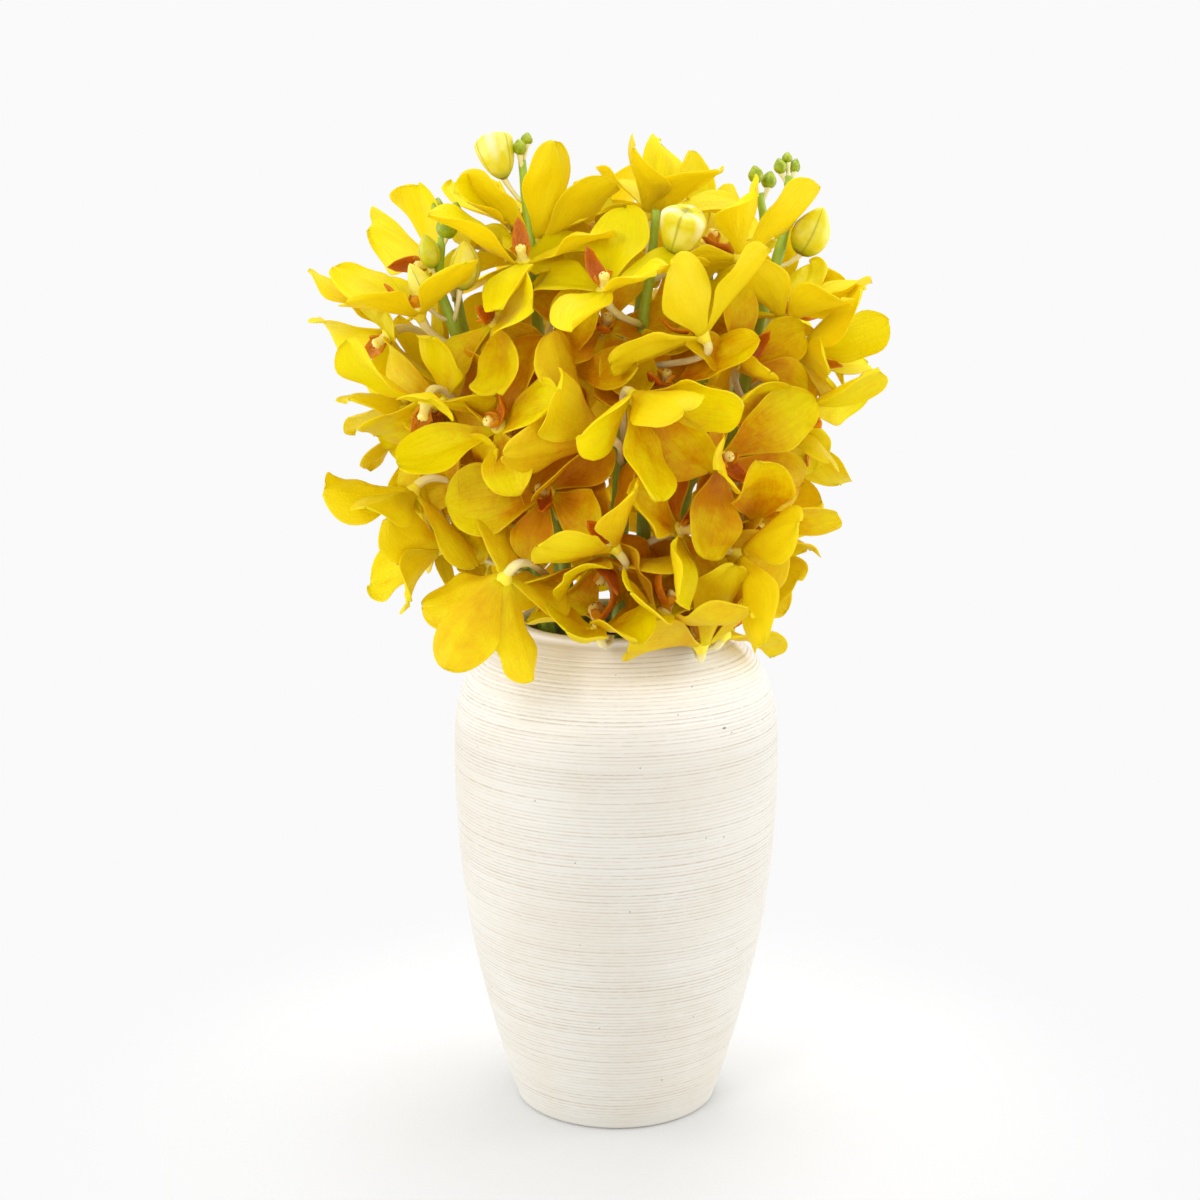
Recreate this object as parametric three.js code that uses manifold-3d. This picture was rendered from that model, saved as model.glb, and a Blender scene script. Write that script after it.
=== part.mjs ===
// Cut mokara orchid sprays standing in a cream ceramic vase.
// Millimetres, +Z up. The origin is the middle of the vase's foot, and the front faces -Y.
// Azimuth 0 faces -Y and azimuth 90 faces +X. Angles are in degrees.

import * as THREE from "three";
import { mergeVertices } from "three/addons/utils/BufferGeometryUtils.js";
import Module from "manifold-3d";

const wasm = await Module();
wasm.setup();

// Clear space kept between pieces that touch or nearly touch.
const GAP = 0.3;

// Vase: the outer outline as [radius, height], from the foot to the start of the rim.
const VASE_SIDES = 28;
const VASE_OUTLINE = [
  [40.5, 0],
  [46.4, 18.5],
  [54.7, 50],
  [60.7, 81],
  [64.2, 115],
  [65.1, 145],
  [63.6, 166],
  [57.4, 182],
  [47, 193],
  [41.2, 197.5],
];
const VASE_WALL = 5;
const VASE_FLOOR = 6;
const COVE_HEIGHT = 3;
const RIM_STEPS = 4;

const WATER_LEVEL = 110;

// A stem's hole in the water starts this part of the stem's length below its foot.
const HOLE_BELOW_FOOT = 0.05;

// Stems and flower stalks.
const STEM_SIDES = 5;
const STEM_RADIUS = 3;
const MOUTH_STEM_RADIUS = 2.8;
const TIP_RADIUS = 1.5;
const MOUTH_HEIGHT = 195;
const RACHIS_STEPS = 7;
const RACHIS_TENSION = 0.5;
const LOWEST_ROOT = 2;
const HIGHEST_ROOT = 1;

// One bloom: five tepals round a small hub, with a column and a lip in front.
const TEPALS = 5;
const TEPAL_ANGLE = 360 / TEPALS;
const TEPAL_LENGTH = 39;
const TEPAL_HALF_WIDTH = 10.8;
const TEPAL_THICKNESS = 0.8;
const HUB_RADIUS = 3;
const HUB_DEPTH = 2.4;
const COLUMN_LENGTH = 6;
const COLUMN_LEAN = 1.5;
const LIP_LENGTH = 16;
const LIP_HALF_WIDTH = 3;
const LIP_HALF_THICKNESS = 1;
const LIP_WIDEST = 0.6;
const LIP_FORWARD = 0.75;
const LIP_DOWN = 0.66;
const PEDICEL_SIDES = 3;
const PEDICEL_OUTWARD = 0.35;
const PEDICEL_UPWARD = 0.1;

// A flower stalk's rings: [part of its length, radius].
const PEDICEL_RINGS = [[0, 1.4], [0.5, 1.4], [0.86, 1.75]];

// How far below a bloom its stalk may leave the rachis, in the order tried.
const ROOT_DROPS = [14, 8, 20, 2, 26, 34, 42, -6];

// What differs from tepal to tepal: angles in degrees, then parts of length or width.
const TEPAL_RANGES = {
  tilt: [-7, 7],
  swing: [-4, 4],
  twist: [-15, 15],
  curl: [-22, 34],
  cup: [0.1, 0.32],
  length: [0.94, 1.06],
  width: [0.9, 1.08],
};

// Where a tepal's outline has corners: [part of its length, part of its half width].
const TEPAL_CORNERS = [[0.5, 0.96], [0.97, 0.42]];
const TEPAL_MIDDLE = 0.6;
const OUTER_START = 0.16;
const OUTER_WIDTH = 0.36;

// A tepal that would cross another is bent or made smaller, but only so far.
const BEND_REACHES = [7, 14, 21, 30, 40];
const BEND_SIZES = [1, 0.88, 0.76, 0.64];
const BEND_DIRECTIONS = 8;
const SWING_PER_TILT = 0.7;
const SIZE_EFFORT = 60;
const LOWEST_TIP = 206;

// A bud's rings: [part of its length, part of its width].
const BUD_SIDES = 6;
const BUD_RINGS = [[0.3, 0.92], [0.68, 1]];
const BUD_RISE = 0.8;
const BUD_STALK_RADIUS = 0.9;
const BUD_STALK_SAG = 0.12;
const BUD_STALK_DEPTH = 0.2;

// The ball of blooms, for those that a rule places, and what differs between them.
const DOME_MIDDLE = 275;
const DOME_BELOW = 95;
const DOME_ABOVE = 84;
const FACING_SPREAD = 1.6;
const LEVEL_LIFT = 10;
const LIFT_ABOVE = 55;
const BEHIND_RANGES = {
  turn: [-2.5, 2.5],
  radius: [0.95, 1.03],
  facing: [-15, 15],
  lift: [-15, 15],
  roll: [-40, 40],
  open: [68, 88],
};
const FIRST_SEED = 1009;
const SEED_STEP = 137;

// Each spray has the places of its foot and mouth as [x, y] and of its bare rachis above the
// mouth as [x, y, z]. A bloom faces an azimuth, a lift and a roll, and its tepals open by an
// angle from straight ahead. A tepal that shows from the front has a tilt, swing and twist of
// its own, and a bloom may be without a tepal. Buds are [x, y, z, length, width, root height].
// A rule places the blooms behind.
const SPRAYS = [
  {
    name: "spray_front",
    foot: [-3, -25],
    mouth: [0, -29],
    rachis: [[1, -35, 235], [2, -40, 272]],
    blooms: [
      { at: [6, -76, 295], faces: [35, -35, 90], open: 50,
        tepals: { 1: [-25, 5, -15], 2: [-10, 0, 25], 3: [-15, 0, -20], 4: [-15, 0, 10] } },
      { at: [-7, -68, 281], faces: [-95, 15, -60], open: 65,
        tepals: { 0: [-5, -5, 0], 1: [-15, -10, -35], 4: [-10, 15, -15] } },
      { at: [-2, -70, 241], faces: [-85, 50, 85], open: 65,
        tepals: { 0: [-20, 0, 5], 2: [-10, 5, 10], 3: [-5, 0, 5] } },
      { at: [22, -59, 245], faces: [60, 20, 135], open: 80,
        tepals: { 0: [0, -10, -10], 2: [5, 10, 10], 3: [10, 0, -15] } },
      { at: [-7, -54, 213], faces: [-40, 80, 110], open: 80,
        tepals: { 1: [0, 20, -20], 2: [5, -15, 0], 4: [5, -10, -40] } },
      { at: [17, -60, 218], faces: [65, 70, -125], open: 75,
        tepals: { 1: [-5, 10, 20], 3: [5, -10, -20], 4: [-10, 0, 0] } },
      { at: [-7, -50, 232], faces: [25, -60, 175], open: 75,
        tepals: { 0: [0, -10, 0], 3: [0, 10, 15] } },
    ],
    buds: [],
  },
  {
    name: "spray_centre",
    foot: [8, -12],
    mouth: [10, -20],
    rachis: [[10, -30, 265], [9, -37, 313], [12, -38, 338], [14, -36, 360]],
    blooms: [
      { at: [-5, -57, 332], faces: [-20, 65, -130], open: 75,
        tepals: { 0: [-10, 5, -5], 2: [-10, -15, 0], 3: [20, -15, -5], 4: [0, 25, 5] } },
      { at: [-5, -40, 317], faces: [10, 35, -20], open: 80, tepals: { 3: [5, 0, 10] } },
      { at: [30, -60, 316], faces: [-110, 50, 10], open: 70,
        tepals: { 1: [-5, -5, 20], 4: [-15, 5, 25] } },
      { at: [18, -49, 296], faces: [-20, 55, -15], open: 75,
        tepals: { 0: [5, -15, -10], 4: [0, 15, 15] } },
      { at: [38, -52, 270], faces: [30, 5, 20], open: 66 },
    ],
    buds: [[22, -46, 352, 17, 15, 338]],
  },
  {
    name: "spray_front_left",
    foot: [-14, -18],
    mouth: [-17, -23],
    rachis: [[-24, -27, 262], [-31, -19, 325], [-34, -14, 358], [-36, -10, 378]],
    blooms: [
      { at: [-35, -35, 341], faces: [-20, 70, -160], open: 85,
        tepals: { 0: [10, -10, 50], 2: [15, 5, 15], 3: [0, 5, 5] } },
      { at: [-30, -13, 349], faces: [140, 75, -35], open: 55,
        tepals: { 1: [-20, 15, 50], 2: [-30, -5, -10], 3: [-10, -5, 25], 4: [-10, -5, 20] } },
      { at: [-39, -4, 353], faces: [30, 55, 20], open: 75,
        tepals: { 0: [15, -5, -20], 1: [-15, 5, -10] } },
      { at: [-45, -43, 320], faces: [-55, 30, 80], open: 85,
        tepals: { 0: [25, 20, 0], 2: [5, 0, 0], 3: [-15, -25, -10] } },
      { at: [-43, -60, 283], faces: [-35, 35, 130], open: 80,
        tepals: { 1: [15, 15, -5], 2: [-15, 0, -15], 4: [15, -10, -55] } },
      { at: [-41, -77, 230], faces: [-140, -50, 30], open: 65,
        tepals: { 0: [15, 5, 35], 2: [-10, 0, -25], 3: [-5, -10, 30], 4: [-35, -5, -15] } },
      { at: [-26, -52, 258], faces: [-20, 10, 30], open: 66 },
      { at: [-20, -46, 302], faces: [-20, 20, -160], open: 70 },
    ],
    buds: [
      [-45, -12, 379, 17, 13, 362],
      [-37, -12, 383, 6, 5.4, 374],
      [-34, -8, 386, 5, 4.6, 377],
    ],
  },
  {
    name: "spray_left",
    foot: [-21, -9],
    mouth: [-26, -11],
    rachis: [[-42, -20, 262], [-61, -30, 316], [-66, -32, 334], [-65, -32, 350]],
    blooms: [
      { at: [-73, -42, 323], faces: [-70, 70, 5], open: 70,
        tepals: { 1: [0, 20, 15], 2: [-5, -20, -10], 3: [-10, -5, 0] } },
      { at: [-64, -37, 289], faces: [-50, -20, -25], open: 80,
        tepals: { 0: [0, -5, 15], 1: [10, 5, -5] } },
      { at: [-70, -52, 291], faces: [-35, -65, -45], open: 85,
        tepals: { 1: [15, -10, 0], 2: [0, 15, 0], 3: [10, -15, 5] } },
      { at: [-82, -17, 287], faces: [-60, -60, 115], open: 75,
        tepals: { 0: [-5, -20, -20], 3: [-10, -10, 5], 4: [10, 30, 15] } },
      { at: [-77, -38, 256], faces: [-80, -55, -85], open: 70,
        tepals: { 0: [0, 20, 25], 1: [0, -15, -25], 3: [-15, -5, -25] } },
      { at: [-68, -33, 234], faces: [-85, 10, 15], open: 70,
        tepals: { 1: [-5, 10, -40], 2: [-20, -20, -5], 3: [0, 10, 15] } },
      { at: [-50, -40, 262], faces: [-45, -10, 20], open: 66 },
    ],
    buds: [
      [-57, -40, 340, 19, 11.5, 318],
      [-73, -42, 333, 18, 9, 320],
      [-70, -36, 345, 13, 8, 334],
      [-63, -32, 354, 9.5, 8, 346],
      [-66, -31, 361, 7, 5, 350],
      [-60, -32, 360, 6, 5, 349],
    ],
  },
  {
    name: "spray_right",
    foot: [19, -14],
    mouth: [24, -17],
    rachis: [[40, -22, 262], [57, -20, 330], [64, -17, 358], [64, -14, 372]],
    blooms: [
      { at: [45, -35, 343], faces: [-140, 50, 40], open: 80,
        tepals: { 1: [5, -5, 5], 4: [0, 5, 20] } },
      { at: [63, -30, 320], faces: [75, 80, -15], open: 70,
        tepals: { 1: [-15, 5, 30], 4: [-10, -5, -40] } },
      { at: [69, -22, 306], faces: [75, 10, 35], open: 50,
        tepals: { 0: [-15, 5, 5], 1: [0, -5, 20], 3: [-20, 5, -55], 4: [-45, -5, -15] } },
      { at: [68, -37, 286], faces: [40, -40, -145], open: 85,
        tepals: { 1: [10, -5, -5], 3: [10, 5, 0] } },
      { at: [52, -42, 245], faces: [-10, -55, 70], open: 85,
        tepals: { 1: [10, 0, 35], 2: [15, -10, 5], 3: [0, 20, 0], 4: [10, -10, 35] } },
      { at: [45, -49, 235], faces: [110, -15, 60], open: 80,
        tepals: { 1: [10, -5, 10], 2: [5, 5, -20] } },
      { at: [31, -51, 207], faces: [-155, 75, -135], open: 70,
        tepals: { 0: [-5, 5, 0], 1: [15, -10, 35], 2: [-10, 0, 0], 3: [-10, 0, 0], 4: [-10, 10, 70] } },
      { at: [40, -40, 209], faces: [155, 50, -50], open: 75, without: [2],
        tepals: { 3: [5, 0, 0] } },
      { at: [46, -44, 304], faces: [35, 25, 150], open: 68 },
    ],
    buds: [
      [72, -24, 352, 20, 14, 340],
      [66, -19, 368, 7, 6, 359],
      [71, -14, 365, 7, 6, 356],
      [61, -14, 376, 6, 5, 369],
      [67, -11, 376, 6, 4.4, 369],
      [64, -12, 379, 4.5, 4, 371],
    ],
  },
  {
    name: "spray_far_right",
    foot: [23, 3],
    mouth: [29, 4],
    rachis: [[44, 7, 265], [53, 12, 325], [57, 10, 352], [55, 9, 366]],
    blooms: [
      { at: [66, 14, 320], faces: [100, 24, 10], open: 70 },
      { at: [69, -12, 278], faces: [-35, -60, 60], open: 75,
        tepals: { 1: [15, -10, -5], 2: [0, -20, -15], 3: [-20, 25, -10] } },
    ],
    behind: { azimuth: 110, heights: [296, 262, 236, 216], radius: 62, spread: 12, seed: 11 },
    buds: [
      [53, 6, 373, 7, 6, 364],
      [59, 10, 371, 7, 6, 362],
    ],
  },
  {
    name: "spray_far_left",
    foot: [-23, 3],
    mouth: [-29, 4],
    rachis: [[-46, 5, 265], [-60, 4, 315], [-62, 3, 336]],
    blooms: [
      { at: [-87, -15, 313], faces: [-75, -35, -75], open: 70,
        tepals: { 0: [-10, 10, 15], 2: [-10, -5, -10] } },
      { at: [-71, -9, 340], faces: [-65, -10, -95], open: 80,
        tepals: { 1: [5, -10, 25], 2: [0, 20, -10], 3: [5, -10, 30] } },
    ],
    behind: { azimuth: -104, heights: [288, 262, 238, 218], radius: 76, spread: 12, seed: 23 },
    buds: [],
  },
  {
    name: "spray_top",
    foot: [0, 2],
    mouth: [1, 0],
    rachis: [[3, -4, 260], [8, -8, 318], [10, -9, 342]],
    blooms: [
      { at: [13, -7, 359], faces: [70, 65, -80], open: 65,
        tepals: { 0: [-15, 20, 25], 1: [10, -30, 5], 2: [-10, 15, -30], 3: [-25, 0, 30] } },
      { at: [34, 6, 346], faces: [60, 40, 0], open: 70 },
      { at: [-8, 16, 348], faces: [-150, 60, 0], open: 72 },
    ],
    buds: [],
  },
  {
    name: "spray_back_right",
    foot: [15, 19],
    mouth: [19, 24],
    rachis: [[32, 36, 265], [38, 42, 320], [36, 38, 342]],
    blooms: [],
    behind: { azimuth: 142, heights: [338, 312, 288, 263, 238, 216], radius: 80, spread: 14, seed: 37 },
    buds: [],
  },
  {
    name: "spray_back",
    foot: [0, 25],
    mouth: [0, 30],
    rachis: [[1, 46, 265], [0, 50, 318], [-2, 42, 345]],
    blooms: [],
    behind: { azimuth: 181, heights: [344, 320, 298, 274, 249, 222], radius: 80, spread: 14, seed: 53 },
    buds: [],
  },
  {
    name: "spray_back_left",
    foot: [-15, 19],
    mouth: [-19, 24],
    rachis: [[-32, 36, 265], [-40, 40, 320], [-36, 34, 345]],
    blooms: [],
    behind: { azimuth: -143, heights: [340, 314, 290, 264, 239, 217], radius: 80, spread: 14, seed: 71 },
    buds: [],
  },
];

const PETAL_YELLOW = 0xf2c212;
const VASE_CREAM = 0xebe5d8;
const WATER_TINT = 0xdfe8e6;

// Small tools for vectors, chance and solids.

const radians = THREE.MathUtils.degToRad;
const vector = (x, y, z) => new THREE.Vector3(x, y, z);
const UP = vector(0, 0, 1);

function combine(...terms) {
  const total = vector(0, 0, 0);
  for (const [amount, direction] of terms) total.addScaledVector(direction, amount);
  return total;
}

// A repeatable stream of numbers, each drawn between two ends. Streams whose seeds lie close
// together start alike, so their first number can be passed over.
const MULTIPLIER = 16807;
const MODULUS = 2147483647;

function createDraw(seed) {
  let state = seed;
  return ([low, high]) => {
    state = (state * MULTIPLIER) % MODULUS;
    return low + ((high - low) * state) / MODULUS;
  };
}

class MeshBuilder {
  constructor() {
    this.positions = [];
    this.triangles = [];
  }

  add(points) {
    return points.map((point) => {
      this.positions.push(point.x, point.y, point.z);
      return this.positions.length / 3 - 1;
    });
  }

  triangle(a, b, c) {
    this.triangles.push(a, b, c);
  }

  // Joins two rings that start at the same angle, seen from outside with the next ring ahead.
  band(ring, next) {
    let i = 0;
    let j = 0;
    while (i < ring.length || j < next.length) {
      const here = ring[i % ring.length];
      const there = next[j % next.length];
      if ((j + 1) * ring.length <= (i + 1) * next.length) {
        j += 1;
        this.triangle(here, next[j % next.length], there);
      } else {
        i += 1;
        this.triangle(here, ring[i % ring.length], there);
      }
    }
  }

  fan(ring) {
    for (let i = 1; i < ring.length - 1; i += 1) this.triangle(ring[0], ring[i], ring[i + 1]);
  }

  cone(ring, tip) {
    ring.forEach((corner, i) => this.triangle(corner, ring[(i + 1) % ring.length], tip));
  }

  solid() {
    return solidFrom(new Float32Array(this.positions), new Uint32Array(this.triangles));
  }
}

function solidFrom(vertProperties, triVerts) {
  return new wasm.Manifold(new wasm.Mesh({ numProp: 3, vertProperties, triVerts }));
}

// Corners of a generated surface that lie closer than this are one corner.
const MERGE_WITHIN = 1e-4;

function solidFromGeometry(geometry) {
  const bare = geometry.clone();
  bare.deleteAttribute("normal");
  bare.deleteAttribute("uv");
  const merged = mergeVertices(bare, MERGE_WITHIN);
  return solidFrom(merged.attributes.position.array, new Uint32Array(merged.index.array));
}

function geometryFromSolid(solid) {
  const mesh = solid.getMesh();
  const geometry = new THREE.BufferGeometry();
  geometry.setAttribute("position", new THREE.BufferAttribute(mesh.vertProperties, 3));
  geometry.setIndex(new THREE.BufferAttribute(mesh.triVerts, 1));
  geometry.computeVertexNormals();
  return geometry;
}

const fuse = (solids) => solids.reduce((total, solid) => total.add(solid));

// Solids of revolution. LatheGeometry turns about Y, so its height becomes Z here.
function lathe(outline) {
  const points = outline.map(([radius, height]) => new THREE.Vector2(radius, height));
  const geometry = new THREE.LatheGeometry(points, VASE_SIDES);
  geometry.rotateX(Math.PI / 2);
  return solidFromGeometry(geometry);
}

// The outline moved inwards, square to itself, and kept above the floor.
function insetOutline(distance, floor) {
  const inset = [];
  for (let i = 1; i < VASE_OUTLINE.length; i += 1) {
    const before = VASE_OUTLINE[i - 1];
    const after = VASE_OUTLINE[Math.min(i + 1, VASE_OUTLINE.length - 1)];
    const run = Math.hypot(after[0] - before[0], after[1] - before[1]);
    const radius = VASE_OUTLINE[i][0] - (distance * (after[1] - before[1])) / run;
    const height = VASE_OUTLINE[i][1] + (distance * (after[0] - before[0])) / run;
    if (height > floor) inset.push([radius, height]);
  }
  return inset;
}

function vaseSolid() {
  const [rimRadius, rimHeight] = VASE_OUTLINE.at(-1);
  const lip = VASE_WALL / 2;
  const rim = [];
  for (let i = 1; i <= RIM_STEPS; i += 1) {
    const angle = (Math.PI * i) / RIM_STEPS;
    rim.push([rimRadius - lip + lip * Math.cos(angle), rimHeight + lip * Math.sin(angle)]);
  }
  const inside = insetOutline(VASE_WALL, VASE_FLOOR + COVE_HEIGHT).reverse();
  const floorRadius = VASE_OUTLINE[0][0] - VASE_WALL;
  const floor = [[floorRadius, VASE_FLOOR], [0, VASE_FLOOR]];
  return lathe([[0, 0], ...VASE_OUTLINE, ...rim, ...inside.slice(1), ...floor]);
}

function waterSolid() {
  const sides = insetOutline(VASE_WALL + GAP, VASE_FLOOR + COVE_HEIGHT);
  const wet = sides.filter(([, height]) => height < WATER_LEVEL);
  const next = sides[wet.length];
  const last = wet.at(-1);
  const part = (WATER_LEVEL - last[1]) / (next[1] - last[1]);
  const surfaceRadius = last[0] + part * (next[0] - last[0]);
  const bottom = VASE_FLOOR + GAP;
  const bottomRadius = VASE_OUTLINE[0][0] - VASE_WALL - GAP;
  const surface = [[surfaceRadius, WATER_LEVEL], [0, WATER_LEVEL]];
  let water = lathe([[0, bottom], [bottomRadius, bottom], ...wet, ...surface]);
  for (const spray of SPRAYS) {
    const foot = vector(...spray.foot, VASE_FLOOR + GAP);
    const mouth = vector(...spray.mouth, MOUTH_HEIGHT);
    const beyond = foot.clone().lerp(mouth, -HOLE_BELOW_FOOT);
    const hole = tube([beyond, mouth], [STEM_RADIUS + 2 * GAP, MOUTH_STEM_RADIUS + 2 * GAP]);
    water = water.subtract(hole);
  }
  return water;
}

// A tube with flat ends through the points, with one radius for each point.
function tube(points, radiusAt, sides = STEM_SIDES) {
  const builder = new MeshBuilder();
  const frame = startFrame(points[1].clone().sub(points[0]).normalize());
  const rings = points.map((point, i) => {
    const before = points[Math.max(i - 1, 0)];
    const after = points[Math.min(i + 1, points.length - 1)];
    turnFrame(frame, after.clone().sub(before).normalize());
    return builder.add(ringPoints(point, frame, radiusAt[i], sides));
  });
  builder.fan([...rings[0]].reverse());
  for (let i = 1; i < rings.length; i += 1) builder.band(rings[i - 1], rings[i]);
  builder.fan(rings.at(-1));
  return builder.solid();
}

function startFrame(along) {
  const helper = Math.abs(along.z) > 0.9 ? vector(1, 0, 0) : UP;
  const across = helper.clone().cross(along).normalize();
  return { across, beside: along.clone().cross(across), along };
}

// Turns a frame by the least turn that points it along a new direction.
function turnFrame(frame, along) {
  const turn = new THREE.Quaternion().setFromUnitVectors(frame.along, along);
  frame.across = frame.across.clone().applyQuaternion(turn);
  frame.beside = frame.beside.clone().applyQuaternion(turn);
  frame.along = along.clone();
}

function ringPoints(centre, frame, radius, sides, firstAngle = 0) {
  return Array.from({ length: sides }, (_, i) => {
    const angle = firstAngle + (2 * Math.PI * i) / sides;
    const x = radius * Math.cos(angle);
    const y = radius * Math.sin(angle);
    return combine([1, centre], [x, frame.across], [y, frame.beside]);
  });
}

// Stem and rachis: straight from the vase floor to the mouth, then curved to the tip.
function stemOf(spray) {
  const foot = vector(...spray.foot, VASE_FLOOR + GAP);
  const mouth = vector(...spray.mouth, MOUTH_HEIGHT);
  const bare = [mouth, ...spray.rachis.map((place) => vector(...place))];
  const curve = new THREE.CatmullRomCurve3(bare, false, "catmullrom", RACHIS_TENSION);
  const upper = curve.getPoints(RACHIS_STEPS);
  const points = [foot, ...upper];
  const radii = [STEM_RADIUS];
  upper.forEach((_, i) => {
    radii.push(THREE.MathUtils.lerp(MOUTH_STEM_RADIUS, TIP_RADIUS, i / RACHIS_STEPS));
  });
  return { curve: upper, solid: tube(points, radii) };
}

function rachisPoint(stem, height) {
  const points = stem.curve;
  const lowest = points[0].z + LOWEST_ROOT;
  const highest = points.at(-1).z - HIGHEST_ROOT;
  const wanted = THREE.MathUtils.clamp(height, lowest, highest);
  const upper = points.findIndex((point) => point.z >= wanted);
  const below = points[upper - 1];
  const above = points[upper];
  return below.clone().lerp(above, (wanted - below.z) / (above.z - below.z));
}

// Blooms behind: up the rachis, left and right in turn, on the ball's surface.
function bloomsBehind({ azimuth, heights, radius: widest, spread, seed }) {
  const draw = createDraw(seed);
  return heights.map((height, i) => {
    const side = i % 2 ? -1 : 1;
    const rise = (height - DOME_MIDDLE) / (height > DOME_MIDDLE ? DOME_ABOVE : DOME_BELOW);
    const turn = radians(azimuth + side * (spread + draw(BEHIND_RANGES.turn)));
    const radius = widest * Math.sqrt(1 - rise * rise) * draw(BEHIND_RANGES.radius);
    const facing = azimuth + side * spread * FACING_SPREAD + draw(BEHIND_RANGES.facing);
    const lift = LEVEL_LIFT + LIFT_ABOVE * rise + draw(BEHIND_RANGES.lift);
    return {
      at: [radius * Math.sin(turn), -radius * Math.cos(turn), height],
      faces: [facing, lift, draw(BEHIND_RANGES.roll)],
      open: draw(BEHIND_RANGES.open),
    };
  });
}

function bloomFrame({ at, faces, open, without = [], tepals = {} }, index) {
  const [azimuth, lift, roll] = faces.map(radians);
  const along = vector(
    Math.sin(azimuth) * Math.cos(lift),
    -Math.cos(azimuth) * Math.cos(lift),
    Math.sin(lift),
  );
  const level = vector(Math.cos(azimuth), Math.sin(azimuth), 0);
  const upright = along.clone().cross(level);
  const draw = createDraw(FIRST_SEED + SEED_STEP * index);
  draw([0, 1]);
  return {
    centre: vector(...at),
    open,
    across: combine([Math.cos(roll), level], [Math.sin(roll), upright]),
    beside: combine([-Math.sin(roll), level], [Math.cos(roll), upright]),
    along,
    tepals: tepalForms(tepals, without, draw),
  };
}

function tepalForms(shown, without, draw) {
  return Array.from({ length: TEPALS }, (_, k) => {
    const setOrDrawn = (part, range) => (shown[k] ? shown[k][part] : draw(range));
    return {
      isShown: k in shown,
      isLost: without.includes(k),
      angle: radians(90 + TEPAL_ANGLE * k),
      tilt: setOrDrawn(0, TEPAL_RANGES.tilt),
      swing: setOrDrawn(1, TEPAL_RANGES.swing),
      twist: setOrDrawn(2, TEPAL_RANGES.twist),
      curl: draw(TEPAL_RANGES.curl),
      cup: draw(TEPAL_RANGES.cup),
      length: draw(TEPAL_RANGES.length),
      width: draw(TEPAL_RANGES.width),
    };
  });
}

// A place on a tepal's middle surface: s runs from the hub to the tip, t from edge to edge.
function tepalPlace(bloom, tepal, bend, s, t, width) {
  const angle = tepal.angle + radians(tepal.swing + bend.swing);
  const radial = combine([Math.cos(angle), bloom.across], [Math.sin(angle), bloom.beside]);
  const side = combine([-Math.sin(angle), bloom.across], [Math.cos(angle), bloom.beside]);
  const root = combine(
    [1, bloom.centre],
    [HUB_RADIUS * Math.cos(tepal.angle), bloom.across],
    [HUB_RADIUS * Math.sin(tepal.angle), bloom.beside],
  );
  const curl = radians(tepal.curl);
  const start = radians(bloom.open + tepal.tilt + bend.tilt) - curl / 2;
  const end = start + curl * s;
  const length = (TEPAL_LENGTH * tepal.length - HUB_RADIUS) * bend.size;
  const outward = (length * (Math.cos(start) - Math.cos(end))) / curl;
  const onward = (length * (Math.sin(end) - Math.sin(start))) / curl;
  const normal = combine([-Math.cos(end), radial], [Math.sin(end), bloom.along]);
  const twist = radians(tepal.twist) * s;
  const sideways = combine([Math.cos(twist), side], [Math.sin(twist), normal]);
  const facing = combine([Math.cos(twist), normal], [-Math.sin(twist), side]);
  const reach = TEPAL_HALF_WIDTH * tepal.width * bend.size * width * t;
  const point = combine(
    [1, root],
    [outward, radial],
    [onward, bloom.along],
    [reach, sideways],
    [tepal.cup * Math.abs(reach * t), facing],
  );
  return { point, facing };
}

// The corners beyond the base, in order round the outline, then the middle.
function tepalCorners(bloom, tepal, bend, extra = 0) {
  const place = (s, t, width) => tepalPlace(bloom, tepal, bend, s, t, width);
  const [near, far] = TEPAL_CORNERS;
  const wider = 1 + extra / TEPAL_HALF_WIDTH;
  const places = [
    place(near[0], -1, near[1] * wider),
    place(far[0], -1, far[1] * wider),
    place(far[0], 1, far[1] * wider),
    place(near[0], 1, near[1] * wider),
    place(TEPAL_MIDDLE, 0, 0),
  ];
  const half = TEPAL_THICKNESS / 2 + extra;
  return [half, -half].map((offset) =>
    places.map(({ point, facing }) => combine([1, point], [offset, facing])));
}

// Joins a blade to its base: left and right base corners, in front and behind.
function addBlade(builder, base, corners) {
  const [front, back] = corners.map((points) => builder.add(points));
  const frontMiddle = front.pop();
  const backMiddle = back.pop();
  const frontEdge = [base.frontLeft, ...front, base.frontRight];
  const backEdge = [base.backLeft, ...back, base.backRight];
  builder.cone(frontEdge, frontMiddle);
  builder.cone([...backEdge].reverse(), backMiddle);
  for (let i = 1; i < frontEdge.length; i += 1) {
    builder.triangle(frontEdge[i], frontEdge[i - 1], backEdge[i - 1]);
    builder.triangle(frontEdge[i], backEdge[i - 1], backEdge[i]);
  }
}

// The hub's corners at a distance before or behind its middle.
function hubCorners(bloom, distance, extra) {
  const centre = combine([1, bloom.centre], [distance, bloom.along]);
  const cornerRadius = HUB_RADIUS / Math.cos(Math.PI / TEPALS) + extra;
  return ringPoints(centre, bloom, cornerRadius, TEPALS, firstCorner());
}

// A tepal by itself from the hub's side, made thicker and wider all round.
function wholeTepal(bloom, k, bend, extra) {
  const depth = HUB_DEPTH / 2 + extra;
  const [front, back] = [depth, -depth].map((distance) => hubCorners(bloom, distance, extra));
  const next = (k + 1) % TEPALS;
  const base = [front[k], front[next], back[k], back[next]];
  return closedBlade(base, tepalCorners(bloom, bloom.tepals[k], bend, extra));
}

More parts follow.
